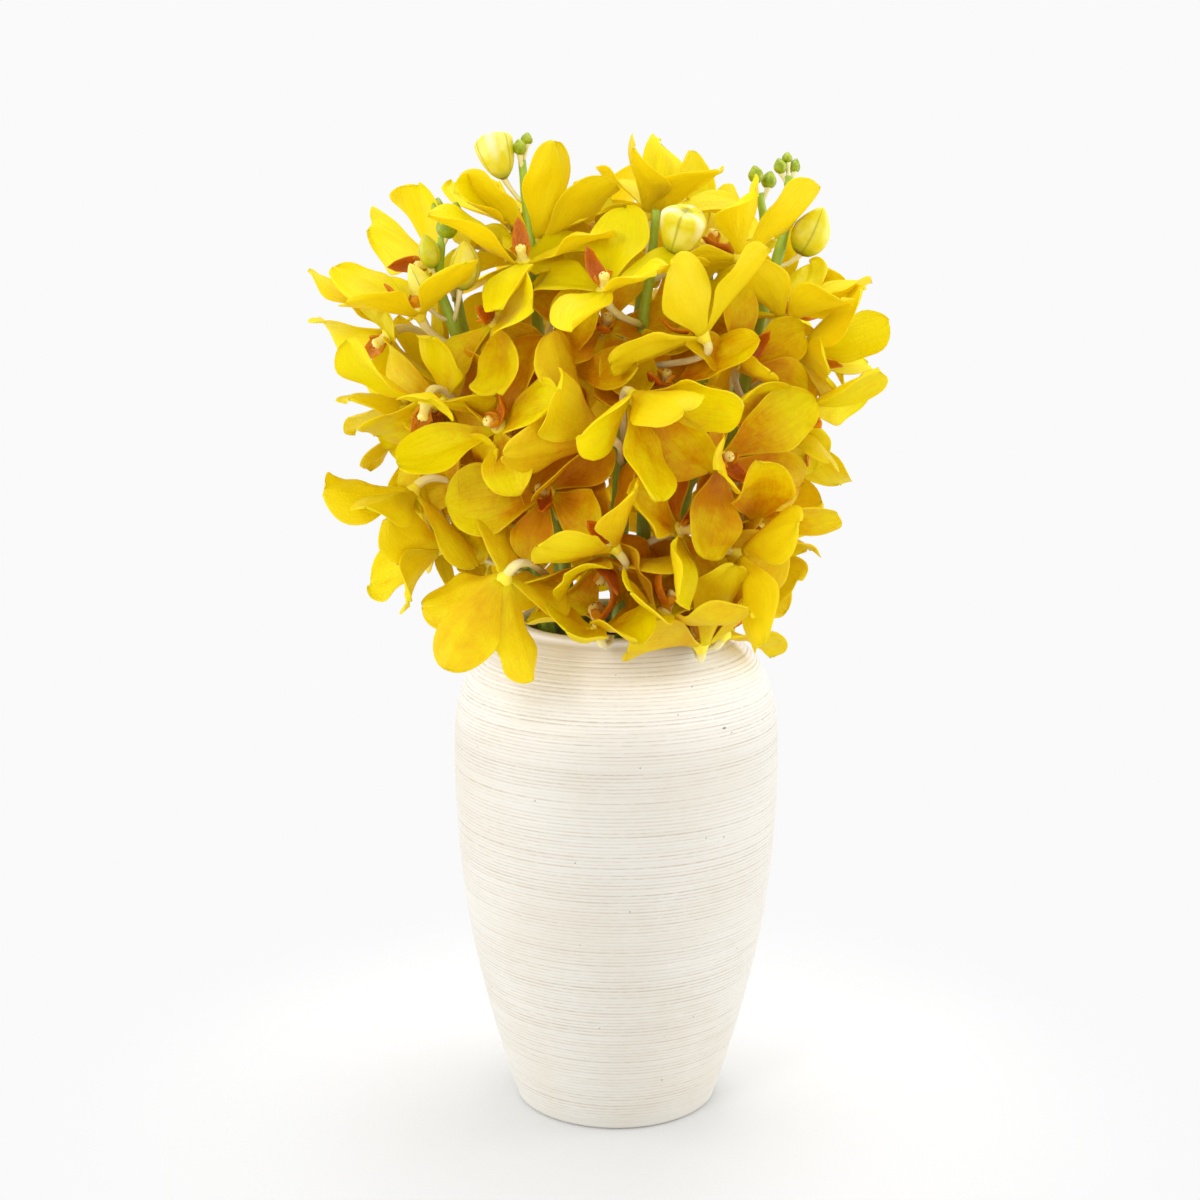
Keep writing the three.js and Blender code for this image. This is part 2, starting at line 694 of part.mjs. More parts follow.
// The same without its root, which always meets the roots beside it.
function outerTepal(bloom, k, bend, extra) {
  const tepal = bloom.tepals[k];
  const half = TEPAL_THICKNESS / 2 + extra;
  const ends = [-1, 1].map((t) => tepalPlace(bloom, tepal, bend, OUTER_START, t, OUTER_WIDTH));
  const corners = [half, -half].flatMap((offset) =>
    ends.map(({ point, facing }) => combine([1, point], [offset, facing])));
  return closedBlade(corners, tepalCorners(bloom, tepal, bend, extra));
}

function closedBlade(baseCorners, corners) {
  const builder = new MeshBuilder();
  const [frontLeft, frontRight, backLeft, backRight] = builder.add(baseCorners);
  addBlade(builder, { frontLeft, frontRight, backLeft, backRight }, corners);
  builder.triangle(frontLeft, frontRight, backRight);
  builder.triangle(frontLeft, backRight, backLeft);
  return builder.solid();
}

// The stalk's rings from the rachis to the hub, each as a point, a direction and a radius.
function pedicelRings(bloom, root) {
  const end = combine([1, bloom.centre], [-HUB_DEPTH / 2, bloom.along]);
  const reach = root.distanceTo(end);
  const outward = vector(end.x - root.x, end.y - root.y, 0).normalize();
  const curve = new THREE.CubicBezierCurve3(
    root,
    combine([1, root], [reach * PEDICEL_OUTWARD, outward], [reach * PEDICEL_UPWARD, UP]),
    combine([1, end], [-reach * PEDICEL_OUTWARD, bloom.along]),
    end,
  );
  return PEDICEL_RINGS.map(([place, radius]) => ({
    point: curve.getPoint(place),
    along: curve.getTangent(place),
    radius,
  }));
}

function ringsBackwards(bloom, rings, extra) {
  const frame = { across: bloom.across, beside: bloom.beside, along: bloom.along };
  return [...rings].reverse().map(({ point, along, radius }) => {
    turnFrame(frame, along);
    return ringPoints(point, frame, radius + extra, PEDICEL_SIDES, firstCorner());
  });
}

const firstCorner = () => radians(90 - 180 / TEPALS);

// Hub, column and stalk in one closed surface, with the tepals growing from its sides.
function bloomSolid(bloom, bends, rings, extra = 0) {
  const builder = new MeshBuilder();
  const back = builder.add(hubCorners(bloom, -HUB_DEPTH / 2 - extra, extra));
  const front = builder.add(hubCorners(bloom, HUB_DEPTH / 2 + extra, extra));
  addCentre(builder, bloom, front, extra);
  bends.forEach((bend, k) => {
    const next = (k + 1) % TEPALS;
    if (bend === null) {
      builder.triangle(back[k], back[next], front[next]);
      builder.triangle(back[k], front[next], front[k]);
      return;
    }
    const base = {
      frontLeft: front[k],
      frontRight: front[next],
      backLeft: back[k],
      backRight: back[next],
    };
    addBlade(builder, base, tepalCorners(bloom, bloom.tepals[k], bend));
  });
  let ahead = back;
  for (const points of ringsBackwards(bloom, rings, extra)) {
    const ring = builder.add(points);
    builder.band(ring, ahead);
    ahead = ring;
  }
  builder.fan([...ahead].reverse());
  return builder.solid();
}

// Column and lip: a low cone on the hub, and a tongue that opens from its lower side.
function addCentre(builder, bloom, front, extra) {
  const along = combine([LIP_FORWARD, bloom.along], [-LIP_DOWN, bloom.beside]).normalize();
  const inner = combine([LIP_DOWN, bloom.along], [LIP_FORWARD, bloom.beside]).normalize();
  const middle = combine([1, bloom.centre], [LIP_WIDEST * LIP_LENGTH, along]);
  const wide = LIP_HALF_WIDTH + extra;
  const thick = LIP_HALF_THICKNESS + extra;
  const height = HUB_DEPTH / 2 + COLUMN_LENGTH;
  const [column, left, outer, right, upper, tip] = builder.add([
    combine([1, bloom.centre], [height, bloom.along], [COLUMN_LEAN, bloom.beside]),
    combine([1, middle], [-wide, bloom.across]),
    combine([1, middle], [-thick, inner]),
    combine([1, middle], [wide, bloom.across]),
    combine([1, middle], [thick, inner]),
    combine([1, bloom.centre], [LIP_LENGTH + extra, along]),
  ]);
  for (const k of [4, 0, 1]) builder.triangle(front[k], front[(k + 1) % TEPALS], column);
  const middleRing = [left, outer, right, upper];
  builder.band([front[2], front[3], front[4], column], middleRing);
  builder.cone(middleRing, tip);
}

function budSolid([x, y, z, length, width, rootHeight], stem) {
  const root = rachisPoint(stem, rootHeight);
  const centre = vector(x, y, z);
  const outward = centre.clone().sub(root).normalize();
  const along = combine([1, outward], [BUD_RISE, UP]).normalize();
  const heelPlace = combine([1, centre], [-length / 2, along]);
  const frame = startFrame(along);
  const builder = new MeshBuilder();
  const [heel, tip] = builder.add([heelPlace, combine([1, heelPlace], [length, along])]);
  const [lower, upper] = BUD_RINGS.map(([part, wide]) => {
    const middle = combine([1, heelPlace], [length * part, along]);
    return builder.add(ringPoints(middle, frame, (wide * width) / 2, BUD_SIDES));
  });
  builder.cone([...lower].reverse(), heel);
  builder.band(lower, upper);
  builder.cone(upper, tip);
  return builder.solid().add(budStalk(root, heelPlace, along, length));
}

function budStalk(root, heel, along, length) {
  const middle = combine([0.5, root], [0.5, heel], [-BUD_STALK_SAG * length, along]);
  const end = combine([1, heel], [BUD_STALK_DEPTH * length, along]);
  const points = [root, middle, heel, end];
  return tube(points, points.map(() => BUD_STALK_RADIUS), PEDICEL_SIDES);
}

// What is already placed, and the test for clear space.
class Surroundings {
  constructor() {
    this.pieces = [];
  }

  add(solid, spray = null, flower = null) {
    this.pieces.push({ solid, spray, flower, box: solid.boundingBox() });
  }

  isClear(probe, counts) {
    const box = probe.boundingBox();
    const apart = (other) =>
      [0, 1, 2].some((axis) => box.min[axis] > other.max[axis] || box.max[axis] < other.min[axis]);
    return this.pieces.every((piece) => {
      if (!counts(piece) || apart(piece.box)) return true;
      const shared = probe.intersect(piece.solid);
      const isEmpty = shared.isEmpty();
      shared.delete();
      return isEmpty;
    });
  }
}

// Bends to try in turn, from none to large.
function bendsToTry() {
  const bends = [];
  for (const size of BEND_SIZES) {
    const shrinking = SIZE_EFFORT * (1 - size);
    bends.push({ tilt: 0, swing: 0, size, effort: shrinking });
    for (const reach of BEND_REACHES) {
      for (let step = 0; step < BEND_DIRECTIONS; step += 1) {
        const angle = (2 * Math.PI * step) / BEND_DIRECTIONS;
        const tilt = reach * Math.cos(angle);
        const swing = SWING_PER_TILT * reach * Math.sin(angle);
        bends.push({ tilt, swing, size, effort: reach + shrinking });
      }
    }
  }
  return bends.sort((a, b) => a.effort - b.effort);
}

const BENDS = bendsToTry();

// The first bend that is clear of everything, or at least of the other sprays.
function chooseBend(flower, k, surroundings) {
  const { bloom, spray } = flower;
  const tepal = bloom.tepals[k];
  const isOwn = (piece) => piece.flower === flower;
  const fits = (counts) => (bend) => {
    const tip = tepalPlace(bloom, tepal, bend, 1, 0, 0).point;
    if (!tepal.isShown && tip.z < LOWEST_TIP) return false;
    const whole = wholeTepal(bloom, k, bend, GAP);
    const outer = outerTepal(bloom, k, bend, GAP);
    const clear = surroundings.isClear(whole, counts) && surroundings.isClear(outer, isOwn);
    whole.delete();
    outer.delete();
    return clear;
  };
  return BENDS.find(fits((piece) => !isOwn(piece)))
    ?? BENDS.find(fits((piece) => piece.spray !== spray))
    ?? null;
}

// A bloom with the first stalk that keeps it clear of the other sprays.
function placeBloom(bloom, stem, spray, surroundings) {
  const bends = bloom.tepals.map(() => null);
  const isOther = (piece) => piece.spray !== spray;
  const choices = ROOT_DROPS.map((drop) =>
    pedicelRings(bloom, rachisPoint(stem, bloom.centre.z - drop)));
  const rings = choices.find((choice) =>
    surroundings.isClear(bloomSolid(bloom, bends, choice, GAP), isOther));
  const flower = { bloom, rings, bends, spray };
  surroundings.add(bloomSolid(bloom, bends, rings), spray, flower);
  return flower;
}

// Settles a bloom's tepals: those with a set place first, over all blooms, then the rest.
function settleTepals(flower, isShown, surroundings) {
  flower.bloom.tepals.forEach((tepal, k) => {
    if (tepal.isLost || tepal.isShown !== isShown) return;
    const bend = chooseBend(flower, k, surroundings);
    if (bend === null) return;
    flower.bends[k] = bend;
    surroundings.add(wholeTepal(flower.bloom, k, bend, 0), flower.spray, flower);
  });
}

// Assembly.

function growSprays() {
  const surroundings = new Surroundings();
  surroundings.add(vaseSolid());
  const grown = SPRAYS.map((spray) => ({ ...spray, stem: stemOf(spray) }));
  for (const spray of grown) {
    surroundings.add(spray.stem.solid, spray.name);
    spray.budSolids = spray.buds.map((row) => budSolid(row, spray.stem));
    spray.budSolids.forEach((solid) => surroundings.add(solid, spray.name));
  }
  let count = 0;
  for (const spray of grown) {
    const rows = [...spray.blooms, ...(spray.behind ? bloomsBehind(spray.behind) : [])];
    const blooms = rows.map((row, i) => bloomFrame(row, count + i));
    count += rows.length;
    spray.flowers = blooms.map((bloom) => placeBloom(bloom, spray.stem, spray.name, surroundings));
  }
  const flowers = grown.flatMap((spray) => spray.flowers);
  flowers.forEach((flower) => settleTepals(flower, true, surroundings));
  flowers.forEach((flower) => settleTepals(flower, false, surroundings));
  return grown;
}

function spraySolid(spray) {
  const parts = [spray.stem.solid, ...spray.budSolids];
  for (const { bloom, bends, rings } of spray.flowers) {
    parts.push(bloomSolid(bloom, bends, rings));
  }
  return fuse(parts);
}

function namedMesh(name, solid, colour, roughness) {
  const material = new THREE.MeshStandardMaterial({ color: colour, roughness, metalness: 0 });
  const mesh = new THREE.Mesh(geometryFromSolid(solid), material);
  mesh.name = name;
  return mesh;
}

const arrangement = new THREE.Group();
arrangement.add(namedMesh("vase", vaseSolid(), VASE_CREAM, 0.8));
arrangement.add(namedMesh("water", waterSolid(), WATER_TINT, 0.05));
for (const spray of growSprays()) {
  arrangement.add(namedMesh(spray.name, spraySolid(spray), PETAL_YELLOW, 0.5));
}

export default arrangement;
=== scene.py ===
"""Cut mokara orchid sprays standing in a cream ceramic vase, as finished for the render.

The layout is in millimetres, as in the model's own source, and the scene is in metres, +Z up.
Azimuth 0 faces -Y and azimuth 90 faces +X. Angles in the layout are in degrees.
"""

import math
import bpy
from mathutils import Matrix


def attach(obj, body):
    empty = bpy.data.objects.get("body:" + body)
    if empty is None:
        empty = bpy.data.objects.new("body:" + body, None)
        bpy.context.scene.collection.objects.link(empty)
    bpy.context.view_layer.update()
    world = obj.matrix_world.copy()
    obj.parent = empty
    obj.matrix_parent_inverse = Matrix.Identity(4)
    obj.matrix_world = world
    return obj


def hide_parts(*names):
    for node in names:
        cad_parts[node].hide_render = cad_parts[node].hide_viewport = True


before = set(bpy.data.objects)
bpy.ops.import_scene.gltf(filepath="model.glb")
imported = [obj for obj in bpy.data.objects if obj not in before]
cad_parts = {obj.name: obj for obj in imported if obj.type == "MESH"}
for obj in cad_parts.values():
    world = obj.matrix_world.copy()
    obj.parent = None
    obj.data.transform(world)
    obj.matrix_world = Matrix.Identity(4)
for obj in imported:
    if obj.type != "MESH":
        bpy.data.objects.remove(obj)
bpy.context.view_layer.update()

from types import SimpleNamespace

import bmesh
import bpy
import numpy as np
from mathutils import Vector

MM = 0.001

# The vase's outer outline as [radius, height], from the foot to the start of the rim.
VASE_OUTLINE = [
    [40.5, 0],
    [46.4, 18.5],
    [54.7, 50],
    [60.7, 81],
    [64.2, 115],
    [65.1, 145],
    [63.6, 166],
    [57.4, 182],
    [47, 193],
    [41.2, 197.5],
]
VASE_WALL = 5
VASE_FLOOR = 6
VASE_SIDES = 144
GROOVE_PITCH = 1.4
GROOVE_DEPTH = 0.26
GROOVES_START = 4
GROOVES_END = 193

# Stems and flower stalks.
MOUTH_HEIGHT = 195
FOOT_HEIGHT = 6.3
STEM_RADIUS = 3
MOUTH_STEM_RADIUS = 2.8
TIP_RADIUS = 1.5
RACHIS_STEPS = 7
LOWEST_ROOT = 2
HIGHEST_ROOT = 1
PEDICEL_OUTWARD = 0.35
PEDICEL_UPWARD = 0.1
PEDICEL_RINGS = [[0.5, 1.4], [0.86, 1.75]]
ROOT_DROPS = [14, 8, 20, 2, 26, 34, 42, -6]

# One bloom: five tepals round a small hub, with a column and a lip in front.
TEPALS = 5
TEPAL_ANGLE = 360 / TEPALS
TEPAL_LENGTH = 39
TEPAL_HALF_WIDTH = 10.8
TEPAL_THICKNESS = 0.8
TEPAL_CORNERS = [[0.5, 0.96], [0.97, 0.42]]
TEPAL_MIDDLE = 0.6
HUB_RADIUS = 3
HUB_DEPTH = 2.4
COLUMN_LENGTH = 6
COLUMN_LEAN = 1.5
LIP_LENGTH = 16
LIP_FORWARD = 0.75
LIP_DOWN = 0.66

# What differs from tepal to tepal: angles in degrees, then parts of length or width.
TEPAL_RANGES = {
    "tilt": [-7, 7],
    "swing": [-4, 4],
    "twist": [-15, 15],
    "curl": [-22, 34],
    "cup": [0.1, 0.32],
    "length": [0.94, 1.06],
    "width": [0.9, 1.08],
}

# The bends that a tepal may have been given to keep it clear of its neighbours.
BEND_REACHES = [7, 14, 21, 30, 40]
BEND_SIZES = [1, 0.88, 0.76, 0.64]
BEND_DIRECTIONS = 8
SWING_PER_TILT = 0.7

# The ball of blooms, for those that a rule places, and what differs between them.
DOME_MIDDLE = 275
DOME_BELOW = 95
DOME_ABOVE = 84
# These four give the ball inside which the petals are given a painted shade, deeper towards its middle.
DOME_WIDE = 105
DOME_TALL = 115
DOME_DEEP = 110
DOME_SHELL = [0.42, 0.96]
FACING_SPREAD = 1.6
LEVEL_LIFT = 10
LIFT_ABOVE = 55
BEHIND_RANGES = {
    "turn": [-2.5, 2.5],
    "radius": [0.95, 1.03],
    "facing": [-15, 15],
    "lift": [-15, 15],
    "roll": [-40, 40],
    "open": [68, 88],
}
FIRST_SEED = 1009
SEED_STEP = 137

# A bud leaves the rachis outwards and turns up.
BUD_RISE = 0.8
BUD_STALK_SAG = 0.12
BUD_STALK_DEPTH = 0.2

# How near a corner of the model has to be to count as found, and how many are enough.
FOUND_WITHIN = 0.02
ENOUGH_CORNERS = 3

# A tepal that the model leaves out for its neighbours is a little smaller than the rest.
LEFT_OUT = SimpleNamespace(tilt=0, swing=0, size=0.84)

# Ends for draws: any angle in radians, the phase of a wave, and a share.
FULL_TURN = [0, 2 * math.pi]
PHASES = [0, 6]
SHARE = [0, 1]

# Fine mesh of a tepal: rows from the root to the widest place, rows round the tip, and the
# columns from edge to edge. s is 0 at the root and 1 at the tip, and t is -1 and 1 at the edges.
WIDEST = 0.62
ROOT_ROWS = 11
TIP_ROWS = 8
TIP_TURN = 86
COLUMNS = [-1, -0.94, -0.78, -0.56, -0.34, -0.15, 0, 0.15, 0.34, 0.56, 0.78, 0.94, 1]
CLAW_POWER = 1.4
CLAW_WIDTH = 0.18
TIP_FULLNESS = 0.92
TIP_SHARPNESS = 0.75
TIP_ROOM = 1.02
CORNERS_REACH = 60

# Half the thickness of a blade, and how it changes towards its claw, edges and tip.
BLADE_HALF = 0.36
EDGE_ROUND = 0.9
CLAW_THICKER = 0.7
EDGE_THINNER = 0.45
TIP_THINNER = 0.35
CLAW_PART = [0, 0.25]
TIP_PART = [0.85, 1]

# What differs from petal to petal in the fine mesh, in millimetres or as a part of the width.
PETAL_RANGES = {
    "point": [0.05, 0.75],
    "broad": [1.0, 1.22],
    "notch": [0.015, 0.045],
    "fold": [0.0, 2.4],
    "wave": [0.4, 2.0],
    "roll": [-4, 4],
    "lean": [-1.8, 1.8],
    "ripples": [5, 9],
    "buckle": [0.2, 0.8],
}
FIRST_PETAL_SEED = 3001
PETAL_SEED_STEP = 61

# The waves of a frayed edge as [turn along the tepal, share], and the notch at the tip.
FRAYED_SHARE = 0.25
FRAYED_DEPTH = 0.0264
EVEN_DEPTH = 0.006
FRAY_WAVES = [[10.6, 0.6], [23.4, 0.5], [46.2, 0.35]]
FRAY_POWER = 3
NOTCHED_SHARE = 0.35
SLIGHT_NOTCH = 0.006
NOTCH_WIDTH = 0.22
NOTCH_IN = [0.78, 1]

# Where along a tepal each form sets in or ends, and the turns of its waves and buckles.
FOLD_AT = 0.4
FOLD_IN = [0.05, 0.3]
FOLD_OUT = [0.75, 1]
EDGE_WAVES = [1.0, 2.1]
EDGE_POWER = 2.2
WAVE_IN = [0.15, 0.5]
ROLL_IN = [0.6, 1.05]
LEAN_IN = [0.3, 0.9]
BUCKLES = [[5.2, 1.7], [-2.3, 7.1]]
BUCKLE_IN = [0.15, 0.4]
RIPPLE_HEIGHT = 0.1
RIPPLE_IN = [0.1, 0.3]
RIPPLE_OUT = [0.8, 1]

# How the low flowers at the front sag onto the mouth of the vase.
SAG = 7
SAG_HEIGHTS = [206, 234]
SAG_FRONT = [12, 40]
SAG_SIDE = [-26, -10]
SAG_GAP = 1.6
SHOULDER_POINTS = 6

# The column and the dark spots at its tip, by their distances in front of the bloom.
COLUMN_PLACES = [-1, 0.5, 2, 3.6, 5, 6.2, 7, 7.3]
COLUMN_RADII = [2.6, 2.5, 2.0, 1.7, 1.9, 2.1, 1.5, 0.3]
SPOT_APART = 0.8
SPOT_DROP = 0.4
SPOT_PLACES = [-0.4, 0.25, 0.5]
SPOT_RADII = [0.28, 0.28, 0.2]

# The hub, by its distances along the bloom's axis.
HUB_PLACES = [-3.4, -2.4, -1.4, -0.4, 0.5, 1.2, 1.6]
HUB_RADII = [1.7, 1.95, 2.5, 3.15, 3.3, 2.7, 1.2]
HUB_TONE = 0.5

# The lip: its half width, and its upturn, sag, folds and ridges as [height, place, width].
LIP_ROWS = 13
LIP_COLUMNS = 11
LIP_ROOT = 1.2
LIP_REACH = 15.52
LIP_ACROSS = 4
LIP_ROOT_HALF = 1.4
LIP_SWELL = 2.0
LIP_SWELL_RATE = 0.93
LIP_SWELL_START = 0.12
LIP_SWELL_POWER = 1.2
LIP_TAPER = 0.35
LIP_TIP = [0.82, 1.02]
LIP_TIP_TAPER = 0.85
LIP_UPTURN = 2.2
LIP_UPTURNED = [0.55, 1]
LIP_SAG = 1.4
LIP_FOLDS = [0.35, 0.7]
LIP_FOLD_POWER = 1.6
LIP_RIDGES = [[0.5, 0.42, 0.15], [0.6, 0, 0.13]]
RIDGES_IN = [0, 0.2]
RIDGES_OUT = [0.7, 0.98]
LIP_THICK = 0.5
LIP_THINNER = 0.3
LIP_TONE = 2
LIP_REDS = [0.35, 1]

# The lobes beside the lip, from a root given as [along the bloom, along the lip, apart].
LOBE_ROWS = 7
LOBE_ROOT = [1.4, 2.6, 1.7]
LOBE_LENGTH = 4.4
LOBE_ALONG = 4
LOBE_HALF = 1.5
LOBE_RATE = 1.05
LOBE_WIDEST = 0.35
LOBE_ROUND = 0.5
LOBE_LEAST = 0.03
LOBE_SPLAY = 0.55
LOBE_LEAN = 0.1
LOBE_CUP = 0.5
LOBE_THICK = 0.35
LOBE_RED = 0.4

# Fine flower stalks and stems, and the small bract under a stalk as [up, along, onward].
PEDICEL_STEPS = 22
PEDICEL_RADIUS = 1.25
PEDICEL_LENGTH = 30
PEDICEL_FLARE = 0.35
PEDICEL_FLARED = [0.6, 0.95]
PEDICEL_FOOT = 0.25
PEDICEL_FOOTED = [0, 0.12]
BRACT_RISE = 0.4
BRACT_PLACES = [[-1.2, 0, 0], [-0.6, 1.4, 0], [0, 0, 3.2], [0, 0, 4.6]]
BRACT_RADII = [1.2, 1.9, 1.2, 0.15]
STEM_PART = 0.97
STEM_STEPS = 12
FINE_RACHIS_STEPS = 40
STEM_KNOTS = [[0.06, 4.1], [0.03, 1.7]]

# Fine buds and their stalks. A small bud is green and a big one is pale, with deeper ribs.
BUD_STALK_STEPS = 14
BUD_STALK_RADIUS = 0.85
BUD_STALK_FLARE = 0.35
BUD_STALK_FLARED = [0.45, 0.7]
BUD_STALK_LENGTH = 10
BUD_RINGS = 20
BUD_RIB_DEPTH = 0.035
BIG_RIB_DEPTH = 0.03
OPEN_RIB_DEPTH = 0.09
BUD_BIG = [9, 16]
BUD_LEAN = 0.06
BUD_WIDEST_LOW = 0.82
BUD_FULLNESS = 0.62
BUD_TIP = [0.55, 1]
BUD_TIP_THINNER = 0.12
BUD_LEAST_RADIUS = 0.12

# The first bud of these sprays is opening: a cup, as [part of its length, part of its width].
HALF_OPEN = ["spray_centre", "spray_front_left"]
CUP = [[0, 0.1], [0.1, 0.45], [0.25, 0.74], [0.5, 0.98], [0.75, 1.1], [0.88, 1.1],
       [0.97, 0.92], [1, 0.6], [1, 0.1]]

# The fine vase: its foot, its grooves, which waver and come and go, and its rim and floor.
FOOT_RING = 37
FOOT_ROUND = 1.2
FOOT_EDGE = [0.7, 0.35]
FIRST_GROOVE = 1.2
PITCH_RANGE = [0.92, 1.08]
DEPTH_RANGE = [0.6, 1]
FAINT_GROOVE = 0.1
GROOVE_PARTS = [0, 0.32, 0.62]
GROOVE_SIDE = 0.12
GROOVE_WAVES = [[1, 0.45], [3, 0.3], [7, 0.25]]
GROOVE_MIDDLE = 0.8
GROOVE_CHANGE = 0.25
GROOVE_LIMITS = [0.1, 1.25]
WAVER = 0.12
WAVER_TURN = 0.01
WAVER_IN = [3, 20]
VASE_FINE_STEPS = 400
NECK_STEPS = 8
RIM_STEPS = 13
INNER_STEPS = 40
COVE_HEIGHT = 3
FLOOR_COVE = [[1, 0.6], [4, 0]]
SAME_PLACE = 1e-7

GOLD_SEED = 811
CENTRE_SEED = 1213
CENTRE_SEED_STEP = 7
BUD_SEED = 401
VASE_SEED = 77

# Colours as they look on a screen.
LEMON = [250, 246, 0]
YELLOW = [247, 224, 0]
GOLD = [236, 170, 0]
AMBER = [208, 100, 0]
VEIN = [208, 120, 0]
PALE_VEIN = [242, 214, 0]
UNDERSIDE = [248, 212, 40]
PALE_EDGE_AND_RIM_LIGHT = [253, 236, 40]
SPECK = [120, 66, 14]
GLOW = [250, 206, 0]
COLUMN_PALE = [246, 234, 160]
COLUMN_YELLOW = [244, 214, 70]
HUB_YELLOW = [248, 226, 60]
LIP_ORANGE = [222, 138, 10]
LIP_RED = [188, 88, 8]
LIP_DARK = [142, 60, 10]
LIP_THROAT = [242, 190, 30]
STEM_GREEN = [120, 148, 42]
RACHIS_GREEN = [156, 186, 50]
STEM_LIGHT = [178, 200, 84]
STALK_CREAM = [240, 230, 180]
STALK_YELLOW = [246, 226, 120]
STALK_GREEN = [206, 204, 110]
BRACT = [150, 150, 60]
BUD_GREEN = [132, 156, 22]
BUD_LIME = [176, 188, 40]
BUD_YELLOW = [222, 208, 20]
BUD_CREAM = [236, 228, 110]
BUD_WHITE = [246, 244, 214]
BUD_SEAM = [150, 140, 20]
CLAY_LIGHT = [219, 216, 208]
CLAY = [215, 210, 199]
CLAY_PAINTED_LIGHT = [248, 246, 242]
CLAY_LINE = [204, 195, 180]
CLAY_GROOVE_DIRT_AND_SHADE = [168, 148, 122]
CLAY_SPOT = [112, 92, 70]
WATER_CLEAR = [226, 238, 232]
WATER_GREEN = [214, 230, 226]

# How deep the yellow of a bloom is: less at the top and the sides as painted light, and more
# inside the bouquet as painted shade. The numbered blooms are lemon in the photograph.
GOLD_MIDDLE = 0.45
PAINTED_LIGHT_AT_TOP = 0.6
PAINTED_LIGHT_AT_SIDES = 0.35
PAINTED_LIGHT_HEIGHTS = [285, 355]
PAINTED_LIGHT_SIDES = [50, 85]
BLOOM_GOLD = [-0.25, 0.25]
TEPAL_GOLD = [-0.2, 0.2]
LEMON_BLOOMS = [7, 9, 27, 48]
LEMON_GOLD = -0.8
PAINTED_SHADE_INSIDE = 1

# The share of a petal's light that passes through it.
PETAL_THROUGH = 0.38

# How the noises and spots are spread, and shares that are the same all over.
MOTTLE_SHARE = 0.6
PETALS_APART = 91.0
VEIN_SCALES = [1.7, 0.06, 37.0]
SPECK_SCALE = 0.16
SPECK_ROUGHNESS = 0.12
SPECK_SHARE = 0.7
UNDERSIDE_SHARE = 0.35
GLOW_SHARE = 0.35
LINE_SCALES = (12.0, 12.0, 1000.0)
BREAK_SCALES = (260.0, 260.0, 900.0)
CLAY_SPOT_SCALE = 420.0

# Values where a share begins and is full, then the shares at both, if not 0 and 1.
PETAL_DEEP_ROOT = [26, 6, -0.1, 0.15]
PETAL_PALE_CLAW = [6, 0, 0, 0.4]
PETAL_SPECK_PLACES = [0.56, 0.62]
PETAL_SPECKS = [0.11, 0.08]
PETAL_VEIN_COLOUR = [0, 1]
PETAL_VEINS = [0.42, 0.66]
PETAL_VEIN_LENGTH = [0, 8, 0.2, 0.42]
PETAL_ROUGHNESS = [0.3, 0.7, 0.36, 0.52]
CENTRE_LIP = [1.6, 1.9]
LIME_RANGE = [0.35, 0.7]
CREAM_RANGE = [0.4, 0.65]
BUD_STRIPES = [0.5, 1, 0, 0.6]
BUD_STRIPE_LENGTH = [0.3, 0.8]
BUD_HEEL = [0.1, 0.04, 0, 0.7]
BUD_BIG_HEEL = [0.5, 0.9]
VASE_SPOT_PLACES = [0.7, 0.73]
VASE_SPOTS = [0.2, 0.12, 0, 0.6]
VASE_NICK = [0.0013, 0.0006, 0, 0.8]
VASE_GROOVE = [0.1, 1]
VASE_BREAKS = [0.3, 0.62, 0.2, 0.65]
RIPPLE_MIX = [0.3, 0.7]
PAPER_MIX = [0.3, 0.7]

# A small dark nick on the vase's right shoulder, in metres, and how flat it is.
NICK_PLACE = (0.0404, -0.0485, 0.1674)
NICK_SCALES = (1.0, 1.0, 2.4)

# The studio: white all round, and soft lights as name, place, size, power and colour.
WORLD_WHITE = (0.955, 0.955, 0.955, 1)
LIGHT_AIM = [0, 0, 0.22]
LIGHTS = [
    ["key_light", [-0.75, -1.2, 0.9], 0.4, 4, [1.0, 0.99, 0.97]],
    ["top_light", [0.1, 0.35, 1.5], 0.8, 9, [1.0, 1.0, 1.0]],
    ["left_light", [-1.4, 0.1, 0.3], 1.0, 7.5, [1.0, 1.0, 1.0]],
    ["right_light", [1.4, 0.1, 0.3], 1.0, 8.5, [1.0, 1.0, 1.0]],
    ["low_light", [0.1, -1.4, 0.12], 1.0, 2.5, [1.0, 1.0, 1.0]],
]
FLOOR_RADIUS = 0.6
FLOOR_FADE = [0.02, 0.24]
FLOOR_SIDES = 64
FLOOR_WHITE = (0.77, 0.77, 0.77, 1)
FLOOR_SHADE = (0.75, 0.75, 0.75, 1)

# The camera, in millimetres, as it stood for the photograph.
CAMERA_PLACE = [-6.6, -800, 367]
CAMERA_DOWN = 11.3
CAMERA_LENS = 61.5
CAMERA_SENSOR = 36
CAMERA_FAR = 20


def spray(name, foot, mouth, rachis, blooms, buds=(), behind=None):
    return SimpleNamespace(
        name=name, foot=foot, mouth=mouth, rachis=rachis, blooms=blooms, buds=buds, behind=behind,
    )


